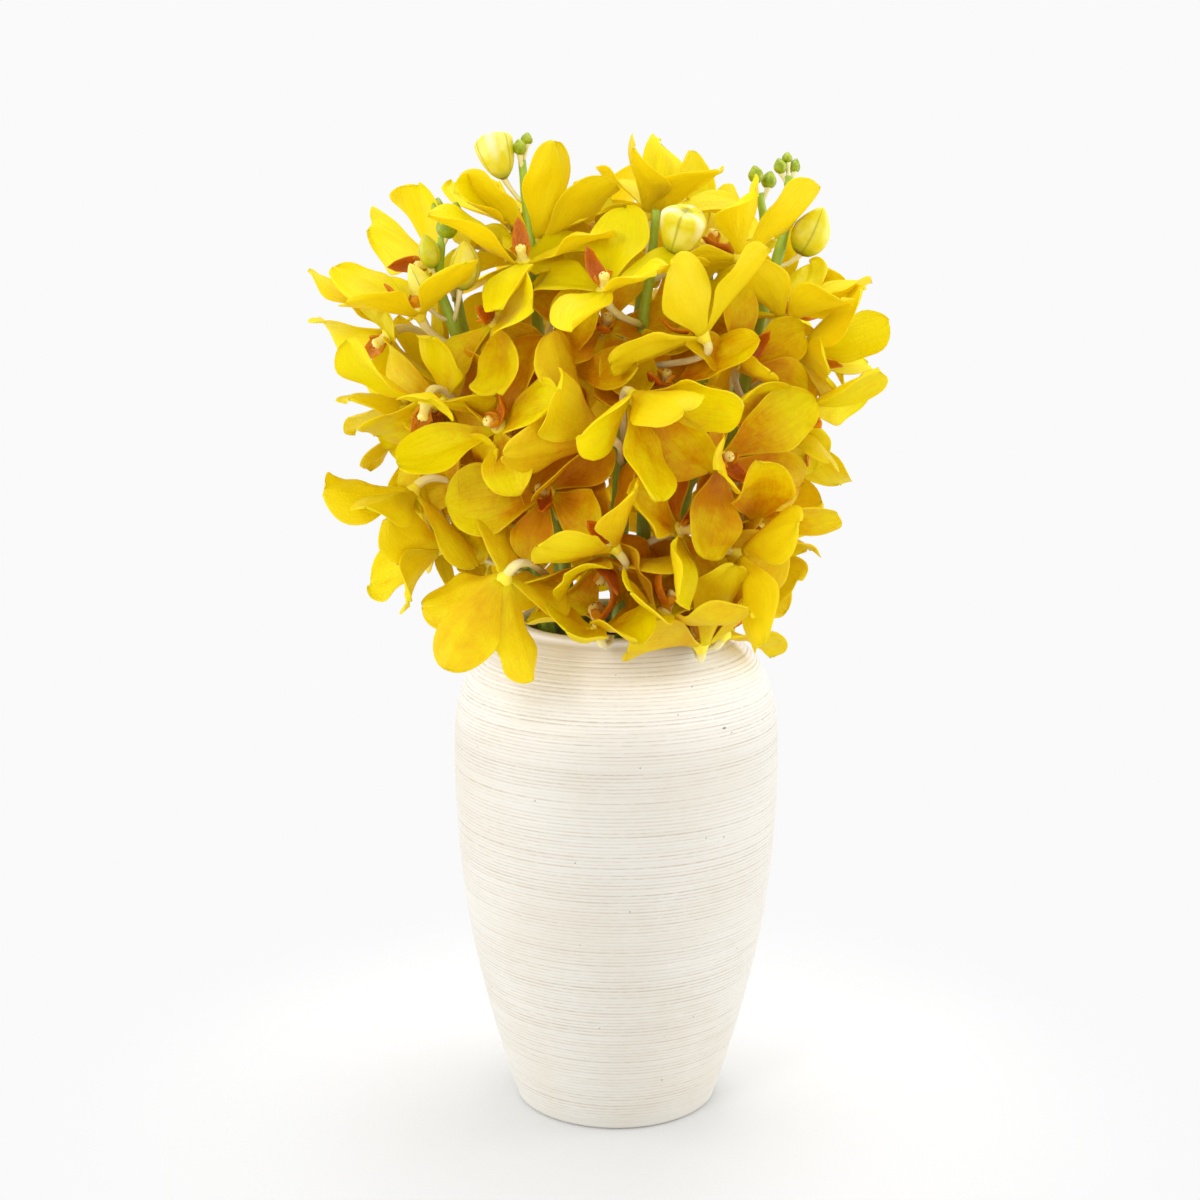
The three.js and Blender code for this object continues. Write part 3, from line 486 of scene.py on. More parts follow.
# Each spray has the places of its foot and mouth as [x, y] and of its bare rachis above the
# mouth as [x, y, z]. A bloom is [place, [azimuth, lift, roll] that it faces, the angle by which
# its tepals open from straight ahead, {tepal: its own [tilt, swing, twist]}], for the tepals
# that show from the front, and None for a tepal that it is without. Buds are [x, y, z, length,
# width, root height]. The blooms behind are placed by a rule, with a height for each.
SPRAYS = [
    spray("spray_front", [-3, -25], [0, -29], [[1, -35, 235], [2, -40, 272]], [
        [[6, -76, 295], [35, -35, 90], 50,
         {1: [-25, 5, -15], 2: [-10, 0, 25], 3: [-15, 0, -20], 4: [-15, 0, 10]}],
        [[-7, -68, 281], [-95, 15, -60], 65, {0: [-5, -5, 0], 1: [-15, -10, -35], 4: [-10, 15, -15]}],
        [[-2, -70, 241], [-85, 50, 85], 65, {0: [-20, 0, 5], 2: [-10, 5, 10], 3: [-5, 0, 5]}],
        [[22, -59, 245], [60, 20, 135], 80, {0: [0, -10, -10], 2: [5, 10, 10], 3: [10, 0, -15]}],
        [[-7, -54, 213], [-40, 80, 110], 80, {1: [0, 20, -20], 2: [5, -15, 0], 4: [5, -10, -40]}],
        [[17, -60, 218], [65, 70, -125], 75, {1: [-5, 10, 20], 3: [5, -10, -20], 4: [-10, 0, 0]}],
        [[-7, -50, 232], [25, -60, 175], 75, {0: [0, -10, 0], 3: [0, 10, 15]}],
    ]),
    spray("spray_centre", [8, -12], [10, -20],
          [[10, -30, 265], [9, -37, 313], [12, -38, 338], [14, -36, 360]], [
        [[-5, -57, 332], [-20, 65, -130], 75,
         {0: [-10, 5, -5], 2: [-10, -15, 0], 3: [20, -15, -5], 4: [0, 25, 5]}],
        [[-5, -40, 317], [10, 35, -20], 80, {3: [5, 0, 10]}],
        [[30, -60, 316], [-110, 50, 10], 70, {1: [-5, -5, 20], 4: [-15, 5, 25]}],
        [[18, -49, 296], [-20, 55, -15], 75, {0: [5, -15, -10], 4: [0, 15, 15]}],
        [[38, -52, 270], [30, 5, 20], 66, {}],
    ], buds=[[22, -46, 352, 17, 15, 338]]),
    spray("spray_front_left", [-14, -18], [-17, -23],
          [[-24, -27, 262], [-31, -19, 325], [-34, -14, 358], [-36, -10, 378]], [
        [[-35, -35, 341], [-20, 70, -160], 85, {0: [10, -10, 50], 2: [15, 5, 15], 3: [0, 5, 5]}],
        [[-30, -13, 349], [140, 75, -35], 55,
         {1: [-20, 15, 50], 2: [-30, -5, -10], 3: [-10, -5, 25], 4: [-10, -5, 20]}],
        [[-39, -4, 353], [30, 55, 20], 75, {0: [15, -5, -20], 1: [-15, 5, -10]}],
        [[-45, -43, 320], [-55, 30, 80], 85, {0: [25, 20, 0], 2: [5, 0, 0], 3: [-15, -25, -10]}],
        [[-43, -60, 283], [-35, 35, 130], 80, {1: [15, 15, -5], 2: [-15, 0, -15], 4: [15, -10, -55]}],
        [[-41, -77, 230], [-140, -50, 30], 65,
         {0: [15, 5, 35], 2: [-10, 0, -25], 3: [-5, -10, 30], 4: [-35, -5, -15]}],
        [[-26, -52, 258], [-20, 10, 30], 66, {}],
        [[-20, -46, 302], [-20, 20, -160], 70, {}],
    ], buds=[
        [-45, -12, 379, 17, 13, 362],
        [-37, -12, 383, 6, 5.4, 374],
        [-34, -8, 386, 5, 4.6, 377],
    ]),
    spray("spray_left", [-21, -9], [-26, -11],
          [[-42, -20, 262], [-61, -30, 316], [-66, -32, 334], [-65, -32, 350]], [
        [[-73, -42, 323], [-70, 70, 5], 70, {1: [0, 20, 15], 2: [-5, -20, -10], 3: [-10, -5, 0]}],
        [[-64, -37, 289], [-50, -20, -25], 80, {0: [0, -5, 15], 1: [10, 5, -5]}],
        [[-70, -52, 291], [-35, -65, -45], 85, {1: [15, -10, 0], 2: [0, 15, 0], 3: [10, -15, 5]}],
        [[-82, -17, 287], [-60, -60, 115], 75, {0: [-5, -20, -20], 3: [-10, -10, 5], 4: [10, 30, 15]}],
        [[-77, -38, 256], [-80, -55, -85], 70, {0: [0, 20, 25], 1: [0, -15, -25], 3: [-15, -5, -25]}],
        [[-68, -33, 234], [-85, 10, 15], 70, {1: [-5, 10, -40], 2: [-20, -20, -5], 3: [0, 10, 15]}],
        [[-50, -40, 262], [-45, -10, 20], 66, {}],
    ], buds=[
        [-57, -40, 340, 19, 11.5, 318],
        [-73, -42, 333, 18, 9, 320],
        [-70, -36, 345, 13, 8, 334],
        [-63, -32, 354, 9.5, 8, 346],
        [-66, -31, 361, 7, 5, 350],
        [-60, -32, 360, 6, 5, 349],
    ]),
    spray("spray_right", [19, -14], [24, -17],
          [[40, -22, 262], [57, -20, 330], [64, -17, 358], [64, -14, 372]], [
        [[45, -35, 343], [-140, 50, 40], 80, {1: [5, -5, 5], 4: [0, 5, 20]}],
        [[63, -30, 320], [75, 80, -15], 70, {1: [-15, 5, 30], 4: [-10, -5, -40]}],
        [[69, -22, 306], [75, 10, 35], 50,
         {0: [-15, 5, 5], 1: [0, -5, 20], 3: [-20, 5, -55], 4: [-45, -5, -15]}],
        [[68, -37, 286], [40, -40, -145], 85, {1: [10, -5, -5], 3: [10, 5, 0]}],
        [[52, -42, 245], [-10, -55, 70], 85,
         {1: [10, 0, 35], 2: [15, -10, 5], 3: [0, 20, 0], 4: [10, -10, 35]}],
        [[45, -49, 235], [110, -15, 60], 80, {1: [10, -5, 10], 2: [5, 5, -20]}],
        [[31, -51, 207], [-155, 75, -135], 70,
         {0: [-5, 5, 0], 1: [15, -10, 35], 2: [-10, 0, 0], 3: [-10, 0, 0], 4: [-10, 10, 70]}],
        [[40, -40, 209], [155, 50, -50], 75, {2: None, 3: [5, 0, 0]}],
        [[46, -44, 304], [35, 25, 150], 68, {}],
    ], buds=[
        [72, -24, 352, 20, 14, 340],
        [66, -19, 368, 7, 6, 359],
        [71, -14, 365, 7, 6, 356],
        [61, -14, 376, 6, 5, 369],
        [67, -11, 376, 6, 4.4, 369],
        [64, -12, 379, 4.5, 4, 371],
    ]),
    spray("spray_far_right", [23, 3], [29, 4],
          [[44, 7, 265], [53, 12, 325], [57, 10, 352], [55, 9, 366]], [
        [[66, 14, 320], [100, 24, 10], 70, {}],
        [[69, -12, 278], [-35, -60, 60], 75, {1: [15, -10, -5], 2: [0, -20, -15], 3: [-20, 25, -10]}],
    ], buds=[
        [53, 6, 373, 7, 6, 364],
        [59, 10, 371, 7, 6, 362],
    ], behind=dict(azimuth=110, heights=[296, 262, 236, 216], radius=62, spread=12, seed=11)),
    spray("spray_far_left", [-23, 3], [-29, 4], [[-46, 5, 265], [-60, 4, 315], [-62, 3, 336]], [
        [[-87, -15, 313], [-75, -35, -75], 70, {0: [-10, 10, 15], 2: [-10, -5, -10]}],
        [[-71, -9, 340], [-65, -10, -95], 80, {1: [5, -10, 25], 2: [0, 20, -10], 3: [5, -10, 30]}],
    ], behind=dict(azimuth=-104, heights=[288, 262, 238, 218], radius=76, spread=12, seed=23)),
    spray("spray_top", [0, 2], [1, 0], [[3, -4, 260], [8, -8, 318], [10, -9, 342]], [
        [[13, -7, 359], [70, 65, -80], 65,
         {0: [-15, 20, 25], 1: [10, -30, 5], 2: [-10, 15, -30], 3: [-25, 0, 30]}],
        [[34, 6, 346], [60, 40, 0], 70, {}],
        [[-8, 16, 348], [-150, 60, 0], 72, {}],
    ]),
    spray("spray_back_right", [15, 19], [19, 24], [[32, 36, 265], [38, 42, 320], [36, 38, 342]], [],
          behind=dict(azimuth=142, heights=[338, 312, 288, 263, 238, 216], radius=80, spread=14, seed=37)),
    spray("spray_back", [0, 25], [0, 30], [[1, 46, 265], [0, 50, 318], [-2, 42, 345]], [],
          behind=dict(azimuth=181, heights=[344, 320, 298, 274, 249, 222], radius=80, spread=14, seed=53)),
    spray("spray_back_left", [-15, 19], [-19, 24], [[-32, 36, 265], [-40, 40, 320], [-36, 34, 345]], [],
          behind=dict(azimuth=-143, heights=[340, 314, 290, 264, 239, 217], radius=80, spread=14, seed=71)),
]


# Small tools for vectors and chance.

UP = np.array([0.0, 0.0, 1.0])
MULTIPLIER = 16807
MODULUS = 2147483647


def unit(vector):
    return vector / np.linalg.norm(vector, axis=-1, keepdims=True)


def smooth(value, low, high):
    """0 below low, 1 above high, and a smooth rise between them."""
    part = np.clip((value - low) / (high - low), 0, 1)
    return part * part * (3 - 2 * part)


def create_draw(seed):
    """A repeatable stream of numbers, each drawn between two ends."""
    state = seed

    def draw(ends):
        nonlocal state
        state = state * MULTIPLIER % MODULUS
        return ends[0] + (ends[1] - ends[0]) * state / MODULUS

    return draw


def curve_through(through, places):
    """Points on a smooth curve, where place 0 is the first point of it and 1 the second."""
    through = np.array(through, float)
    padded = np.vstack([2 * through[0] - through[1], through, 2 * through[-1] - through[-2]])
    points = []
    for place in places:
        i = min(int(place), len(through) - 2)
        u = place - i
        before, start, end, after = padded[i:i + 4]
        leave = (end - before) / 2
        arrive = (after - start) / 2
        rise = 3 * (end - start) - 2 * leave - arrive
        fall = 2 * (start - end) + leave + arrive
        points.append(start + leave * u + rise * u**2 + fall * u**3)
    return np.array(points)


# Blooms, placed as in the model.

def blooms_behind(azimuth, heights, radius, spread, seed):
    """Up the rachis, left and right in turn, on the surface of the ball of blooms."""
    draw = create_draw(seed)
    blooms = []
    for i, height in enumerate(heights):
        side = -1 if i % 2 else 1
        rise = (height - DOME_MIDDLE) / (DOME_ABOVE if height > DOME_MIDDLE else DOME_BELOW)
        turn = math.radians(azimuth + side * (spread + draw(BEHIND_RANGES["turn"])))
        away = radius * math.sqrt(1 - rise * rise) * draw(BEHIND_RANGES["radius"])
        fanned = azimuth + side * spread * FACING_SPREAD
        facing = fanned + draw(BEHIND_RANGES["facing"])
        lift = LEVEL_LIFT + LIFT_ABOVE * rise + draw(BEHIND_RANGES["lift"])
        roll = draw(BEHIND_RANGES["roll"])
        place = [away * math.sin(turn), -away * math.cos(turn), height]
        blooms.append([place, [facing, lift, roll], draw(BEHIND_RANGES["open"]), {}])
    return blooms


def bloom_frame(row, index):
    place, faces, opening, shown = row
    azimuth, lift, roll = np.radians(faces)
    along = np.array([
        math.sin(azimuth) * math.cos(lift),
        -math.cos(azimuth) * math.cos(lift),
        math.sin(lift),
    ])
    level = np.array([math.cos(azimuth), math.sin(azimuth), 0.0])
    upright = np.cross(along, level)
    draw = create_draw(FIRST_SEED + SEED_STEP * index)
    # The model spends the first number of each bloom, too.
    draw(SHARE)
    return SimpleNamespace(
        centre=np.array(place, float),
        open=opening,
        across=math.cos(roll) * level + math.sin(roll) * upright,
        beside=-math.sin(roll) * level + math.cos(roll) * upright,
        along=along,
        tepals=tepal_forms(shown, draw),
        index=index,
    )


def tepal_forms(shown, draw):
    forms = []
    for k in range(TEPALS):
        own = shown.get(k)
        tepal = SimpleNamespace(
            angle=math.radians(90 + TEPAL_ANGLE * k),
            lost=k in shown and own is None,
        )
        for part, name in enumerate(["tilt", "swing", "twist"]):
            setattr(tepal, name, own[part] if own else draw(TEPAL_RANGES[name]))
        for name in ["curl", "cup", "length", "width"]:
            setattr(tepal, name, draw(TEPAL_RANGES[name]))
        forms.append(tepal)
    return forms


def tepal_place(bloom, tepal, bend, s, t, width):
    """Places on a tepal's middle surface, and which way its front faces there.

    s runs from the hub to the tip and t from edge to edge. All of them may be arrays.
    """
    s, t, width = np.broadcast_arrays(s, t, width)
    angle = np.asarray(tepal.angle + np.radians(tepal.swing + bend.swing))[..., None]
    radial = np.cos(angle) * bloom.across + np.sin(angle) * bloom.beside
    side = -np.sin(angle) * bloom.across + np.cos(angle) * bloom.beside
    root = (bloom.centre + HUB_RADIUS * math.cos(tepal.angle) * bloom.across
            + HUB_RADIUS * math.sin(tepal.angle) * bloom.beside)
    curl = math.radians(tepal.curl)
    start = np.radians(bloom.open + tepal.tilt + bend.tilt) - curl / 2
    end = start + curl * s
    length = (TEPAL_LENGTH * tepal.length - HUB_RADIUS) * bend.size
    outward = (length * (np.cos(start) - np.cos(end)) / curl)[..., None]
    onward = (length * (np.sin(end) - np.sin(start)) / curl)[..., None]
    normal = -np.cos(end)[..., None] * radial + np.sin(end)[..., None] * bloom.along
    twist = (math.radians(tepal.twist) * s)[..., None]
    sideways = np.cos(twist) * side + np.sin(twist) * normal
    facing = np.cos(twist) * normal - np.sin(twist) * side
    reach = (TEPAL_HALF_WIDTH * tepal.width * bend.size * width * t)[..., None]
    cupped = tepal.cup * np.abs(reach * t[..., None])
    point = root + outward * radial + onward * bloom.along + reach * sideways + cupped * facing
    return point, facing


# What the model chose for each tepal and stalk, found again from its corners.

def bends_to_try():
    tilt, swing, size = [], [], []
    for part in BEND_SIZES:
        for reach in [0] + BEND_REACHES:
            for step in range(BEND_DIRECTIONS if reach else 1):
                angle = 2 * math.pi * step / BEND_DIRECTIONS
                tilt.append(reach * math.cos(angle))
                swing.append(SWING_PER_TILT * reach * math.sin(angle))
                size.append(part)
    return np.array(tilt), np.array(swing), np.array(size)


BENDS = bends_to_try()


def model_corners(name):
    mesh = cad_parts[name].data
    corners = np.empty(len(mesh.vertices) * 3, np.float32)
    mesh.vertices.foreach_get("co", corners)
    return np.unique(corners.reshape(-1, 3).astype(float) / MM, axis=0)


def chosen_bend(bloom, tepal, corners):
    """The bend whose corners the model holds, or None where it has no such tepal."""
    tilt, swing, size = (values[:, None] for values in BENDS)
    bends = SimpleNamespace(tilt=tilt, swing=swing, size=size)
    (near, near_width), (far, far_width) = TEPAL_CORNERS
    s = np.array([near, far, far, near, TEPAL_MIDDLE])
    t = np.array([-1, -1, 1, 1, 0])
    width = np.array([near_width, far_width, far_width, near_width, 0])
    point, facing = tepal_place(bloom, tepal, bends, s, t, width)
    half = TEPAL_THICKNESS / 2
    both = np.concatenate([point + half * facing, point - half * facing], axis=1)
    apart = np.linalg.norm(both[..., None, :] - corners, axis=-1)
    counts = (apart.min(axis=-1) < FOUND_WITHIN).sum(axis=1)
    best = int(counts.argmax())
    if counts[best] < ENOUGH_CORNERS:
        return None
    return SimpleNamespace(tilt=BENDS[0][best], swing=BENDS[1][best], size=BENDS[2][best])


def pedicel_curve(bloom, root):
    end = bloom.centre - HUB_DEPTH / 2 * bloom.along
    reach = np.linalg.norm(end - root)
    outward = unit((end - root) * [1, 1, 0])
    return [
        root,
        root + reach * PEDICEL_OUTWARD * outward + reach * PEDICEL_UPWARD * UP,
        end - reach * PEDICEL_OUTWARD * bloom.along,
        end,
    ]


def bezier(curve, place):
    a, b, c, d = curve
    place = np.asarray(place, float)[..., None]
    rest = 1 - place
    return rest**3 * a + 3 * rest**2 * place * b + 3 * rest * place**2 * c + place**3 * d


def chosen_pedicel(bloom, rachis, corners):
    """The curve of the flower stalk whose rings the model holds."""
    best, most = None, -1
    for drop in ROOT_DROPS:
        curve = pedicel_curve(bloom, rachis_point(rachis, bloom.centre[2] - drop))
        count = 0
        for place, radius in PEDICEL_RINGS:
            apart = np.linalg.norm(corners - bezier(curve, place), axis=-1)
            count += int((np.abs(apart - radius) < FOUND_WITHIN).sum())
        if count > most:
            best, most = curve, count
    return best


def rachis_point(rachis, height):
    wanted = min(max(height, rachis[0][2] + LOWEST_ROOT), rachis[-1][2] - HIGHEST_ROOT)
    i = next(i for i, point in enumerate(rachis) if point[2] >= wanted)
    part = (wanted - rachis[i - 1][2]) / (rachis[i][2] - rachis[i - 1][2])
    return rachis[i - 1] + part * (rachis[i] - rachis[i - 1])


def grow_sprays():
    count = 0
    sprays = []
    for layout in SPRAYS:
        corners = model_corners(layout.name)
        through = [[*layout.mouth, MOUTH_HEIGHT], *layout.rachis]
        rachis = curve_through(through, np.linspace(0, len(through) - 1, RACHIS_STEPS + 1))
        behind = blooms_behind(**layout.behind) if layout.behind else []
        flowers = []
        for row in layout.blooms + behind:
            bloom = bloom_frame(row, count)
            near = corners[np.linalg.norm(corners - bloom.centre, axis=-1) < CORNERS_REACH]
            flowers.append(SimpleNamespace(
                bloom=bloom,
                bends=[
                    None if tepal.lost else chosen_bend(bloom, tepal, near) or LEFT_OUT
                    for tepal in bloom.tepals
                ],
                pedicel=chosen_pedicel(bloom, rachis, corners),
            ))
            count += 1
        sprays.append(SimpleNamespace(
            name=layout.name, layout=layout, rachis=rachis, through=through, flowers=flowers,
        ))
    return sprays


# Meshes.

class Shape:
    """Points, faces and values of one piece, gathered before its mesh is made.

    place holds millimetres on the surface, and tone what its colour depends on.
    """

    def __init__(self):
        self.points = []
        self.faces = []
        self.places = []
        self.tones = []
        self.count = 0

    def add(self, points, faces, places, tones):
        points = points.reshape(-1, 3)
        self.points.append(points)
        self.faces.extend([corner + self.count for corner in face] for face in faces)
        self.places.append(np.broadcast_to(places, points.shape))
        self.tones.append(np.broadcast_to(tones, points.shape))
        self.count += len(points)

    def piece(self, name, material, slot="orchid"):
        mesh = bpy.data.meshes.new(name)
        mesh.from_pydata((np.concatenate(self.points) * MM).tolist(), [], self.faces)
        for label, values in [("place", self.places), ("tone", self.tones)]:
            attribute = mesh.attributes.new(label, "FLOAT_VECTOR", "POINT")
            attribute.data.foreach_set("vector", np.concatenate(values).astype(np.float32).ravel())
        mesh.materials.append(material)
        mesh.shade_smooth()
        piece = bpy.data.objects.new(name, mesh)
        bpy.context.scene.collection.objects.link(piece)
        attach(piece, "root")
        return piece


def grid_faces(rows, columns, wraps=False):
    r, c = np.meshgrid(
        np.arange(rows - 1), np.arange(columns if wraps else columns - 1), indexing="ij",
    )
    here = r * columns + c
    beside = r * columns + (c + 1) % columns
    return np.stack([here, beside, beside + columns, here + columns], axis=-1).reshape(-1, 4)


def edge_places(rows, columns):
    """The edge of a grid, once round, as row and column numbers."""
    bottom = [(0, j) for j in range(columns)]
    right = [(i, columns - 1) for i in range(1, rows)]
    top = [(rows - 1, j) for j in range(columns - 2, -1, -1)]
    left = [(i, 0) for i in range(rows - 2, 0, -1)]
    return np.array(bottom + right + top + left)


def add_blade(shape, middle, facing, half, places, gold, seed=0, painted_shade=0):
    """A closed thin blade with a round edge, from a grid of its middle surface.

    Its tone is how gold it is, made deeper inside the bouquet by a painted shade, 1 under it, and its seed.
    """
    rows, columns = middle.shape[:2]
    size = rows * columns
    edge = edge_places(rows, columns)
    inner = np.clip(edge, [1, 1], [rows - 2, columns - 2])
    at_edge = middle[edge[:, 0], edge[:, 1]]
    outward = unit(at_edge - middle[inner[:, 0], inner[:, 1]])
    rim = at_edge + EDGE_ROUND * half[edge[:, 0], edge[:, 1], None] * outward
    thick = half[..., None] * facing
    sides = [(middle + thick).reshape(-1, 3), (middle - thick).reshape(-1, 3)]
    points = np.concatenate([*sides, rim])
    front = grid_faces(rows, columns)
    corner = edge[:, 0] * columns + edge[:, 1]
    next_corner = np.roll(corner, -1)
    ring = 2 * size + np.arange(len(edge))
    next_ring = np.roll(ring, -1)
    faces = np.concatenate([
        front,
        front[:, ::-1] + size,
        np.stack([next_corner, corner, ring, next_ring], axis=-1),
        np.stack([next_ring, ring, corner + size, next_corner + size], axis=-1),
    ])
    flat = places.reshape(-1, 3)
    under = np.concatenate([np.zeros(size), np.ones(size), np.full(len(edge), 0.5)])
    # Painted shade: the gold deepens towards the middle of the bouquet, where shade falls.
    tones = np.stack([gold + painted_shade * inside(points), under, np.full_like(under, seed)], axis=-1)
    shape.add(points, faces.tolist(), np.concatenate([flat, flat, flat[corner]]), tones)


def add_tube(shape, path, radii, places, tones, sides, ribs=0, rib_depth=0):
    """A tube with closed ends along a path, with a radius and two places for each point of it.

    Its own first place is how near a corner is to the top of one of the ribs, from -1 to 1.
    """
    path = np.asarray(path, float)
    ahead = unit(np.gradient(path, axis=0))
    helper = UP if abs(ahead[0][2]) < 0.9 else np.array([1.0, 0.0, 0.0])
    across = unit(np.cross(helper, ahead[0]))
    angles = np.linspace(0, 2 * math.pi, sides, endpoint=False)
    ribbed = 1 + rib_depth * np.cos(ribs * angles)
    rings = []
    for point, way, radius in zip(path, ahead, radii):
        across = unit(across - np.dot(across, way) * way)
        beside = np.cross(way, across)
        round_it = np.outer(np.cos(angles), across) + np.outer(np.sin(angles), beside)
        rings.append(point + radius * ribbed[:, None] * round_it)
    faces = grid_faces(len(path), sides, wraps=True).tolist()
    last = (len(path) - 1) * sides
    faces.append(list(range(sides))[::-1])
    faces.append(list(range(last, last + sides)))
    on_ribs = np.tile(np.cos(max(ribs, 1) * angles), len(path))
    spread = np.column_stack([on_ribs, np.repeat(places, sides, axis=0)])
    shape.add(np.array(rings), faces, spread, tones)


# One tepal.

def petal_form(draw):
    """What one petal's fine mesh is like, with the depths of its fraying and its notch."""
    form = SimpleNamespace(**{name: draw(ends) for name, ends in PETAL_RANGES.items()})
    form.fray = FRAYED_DEPTH if draw(SHARE) < FRAYED_SHARE else EVEN_DEPTH
    form.notch = form.notch if draw(SHARE) < NOTCHED_SHARE else SLIGHT_NOTCH
    return form


def petal_grid(form):
    """s, t and half the width, as a part of the widest, for each corner of a petal's grid."""
    turn = np.radians(np.linspace(0, TIP_TURN, TIP_ROWS + 1))[1:]
    root_s = np.linspace(0, WIDEST, ROOT_ROWS)
    tip_s = WIDEST + (1 - WIDEST) * np.sin(turn)
    root_width = CLAW_WIDTH + (1 - CLAW_WIDTH) * np.sin(math.pi / 2 * (root_s / WIDEST) ** CLAW_POWER)
    round_tip = np.cos(turn) ** TIP_FULLNESS
    pointed_tip = (1 - np.sin(turn)) ** TIP_SHARPNESS
    tip_width = (1 - form.point) * round_tip + form.point * pointed_tip
    width = np.concatenate([root_width, tip_width]) * form.broad
    s, t = np.meshgrid(np.concatenate([root_s, tip_s]), COLUMNS, indexing="ij")
    return s, t, width[:, None] * np.ones_like(t)


def frayed(width, s, t, depth, draw):
    """The width with an uneven edge, which is another at each side."""
    for waves, part in FRAY_WAVES:
        phases = [draw(FULL_TURN), draw(FULL_TURN)]
        phase = np.where(t < 0, *phases)
        width = width * (1 + depth * part * np.sin(waves * s + phase) * np.abs(t) ** FRAY_POWER)
    return width


def petal_lift(form, s, t, draw):
    """How far a petal stands off its plain cupped and curled form, towards its front."""
    lift = form.fold * (np.abs(t) - FOLD_AT) * smooth(s, *FOLD_IN) * (1 - smooth(s, *FOLD_OUT))
    for side in [-1, 1]:
        phase = draw(FULL_TURN)
        waves = draw(EDGE_WAVES)
        at_side = np.clip(side * t, 0, 1) ** EDGE_POWER
        wave = np.sin(2 * math.pi * waves * s + phase) * smooth(s, *WAVE_IN)
        lift = lift + form.wave * at_side * wave
    lift = lift + form.roll * smooth(s, *ROLL_IN) ** 2
    lift = lift + form.lean * t * smooth(s, *LEAN_IN)
    buckle = 1
    for along, across in BUCKLES:
        buckle = buckle * np.sin(along * s + across * t + draw(PHASES))
    lift = lift + form.buckle * buckle * smooth(s, *BUCKLE_IN)
    ripple = np.sin(t * form.ripples * math.pi + draw(PHASES))
    return lift + RIPPLE_HEIGHT * ripple * smooth(s, *RIPPLE_IN) * (1 - smooth(s, *RIPPLE_OUT))


def add_tepal(shape, bloom, tepal, bend, gold, seed):
    draw = create_draw(FIRST_PETAL_SEED + PETAL_SEED_STEP * seed)
    form = petal_form(draw)
    s, t, width = petal_grid(form)
    width = frayed(width, s, t, form.fray, draw)
    notched = s - form.notch * np.exp(-(t / NOTCH_WIDTH) ** 2) * smooth(s, *NOTCH_IN)
    point, facing = tepal_place(bloom, tepal, bend, notched, t, width)
    point = point + (petal_lift(form, s, t, draw) * bend.size)[..., None] * facing
    thicker = 1 + CLAW_THICKER * (1 - smooth(s, *CLAW_PART))
    thinner = (1 - EDGE_THINNER * np.abs(t) ** 4) * (1 - TIP_THINNER * smooth(s, *TIP_PART))
    size = TEPAL_LENGTH * tepal.length * bend.size
    side_room = (1 - np.abs(t)) * TEPAL_HALF_WIDTH * width
    tip_room = (TIP_ROOM - s) * size
    places = np.stack([
        t * TEPAL_HALF_WIDTH * form.broad, s * size, np.minimum(side_room, tip_room),
    ], axis=-1)
    half = BLADE_HALF * thicker * thinner
    add_blade(shape, point, facing, half, places, gold, seed, PAINTED_SHADE_INSIDE)


# The middle of a bloom.

def add_column(shape, bloom, draw):
    """The column, with a dark spot at each side of its tip."""
    leaning = bloom.along + COLUMN_LEAN / COLUMN_LENGTH * bloom.beside
    path = [bloom.centre + forward * leaning for forward in COLUMN_PLACES]
    places = [[forward, 0] for forward in COLUMN_PLACES]
    add_tube(shape, path, COLUMN_RADII, places, [0, 0, draw(SHARE)], sides=14)
    for side in [-1, 1]:
        spot = path[-2] + side * SPOT_APART * bloom.across - SPOT_DROP * bloom.beside
        dot = [spot + forward * bloom.along for forward in SPOT_PLACES]
        add_tube(shape, dot, SPOT_RADII, [[0, 0]] * len(dot), [1, 0, 0], sides=8)


def lip_height(s, t, width, draw):
    """The lip's sag and upturned tip, its folded sides and the ridges along it."""
    rise = LIP_UPTURN * smooth(s, *LIP_UPTURNED) - LIP_SAG * np.sin(math.pi * s)
    fold = draw(LIP_FOLDS) * width * np.abs(t) ** LIP_FOLD_POWER
    ridges = sum(
        high * np.exp(-((np.abs(t) - apart) / wide) ** 2) for high, apart, wide in LIP_RIDGES
    )
    return rise + fold + ridges * smooth(s, *RIDGES_IN) * (1 - smooth(s, *RIDGES_OUT))


def add_lip(shape, bloom, draw):
    """A folded tongue with three ridges, with a small lobe at each side of its root."""
    out = unit(LIP_FORWARD * bloom.along - LIP_DOWN * bloom.beside)
    inner = unit(LIP_DOWN * bloom.along + LIP_FORWARD * bloom.beside)
    s, t = np.meshgrid(np.linspace(0, 1, LIP_ROWS), np.linspace(-1, 1, LIP_COLUMNS), indexing="ij")
    swell = np.sin(math.pi * np.clip(s * LIP_SWELL_RATE + LIP_SWELL_START, 0, 1)) ** LIP_SWELL_POWER
    width = LIP_ROOT_HALF + LIP_SWELL * swell * (1 - LIP_TAPER * s)
    width = width * (1 - smooth(s, *LIP_TIP) * LIP_TIP_TAPER)
    height = lip_height(s, t, width, draw)
    middle = (bloom.centre + bloom.along * LIP_ROOT + (LIP_REACH * s)[..., None] * out
              + (width * t)[..., None] * bloom.across + height[..., None] * inner)
    facing = np.broadcast_to(inner, middle.shape)
    places = np.stack([t * LIP_ACROSS, s * LIP_LENGTH, (1 - np.abs(t)) * width], axis=-1)
    red = draw(LIP_REDS)
    add_blade(shape, middle, facing, LIP_THICK * (1 - LIP_THINNER * t**4), places, LIP_TONE + red)
    for side in [-1, 1]:
        add_lobe(shape, bloom, out, inner, side, LIP_TONE + LOBE_RED * red)


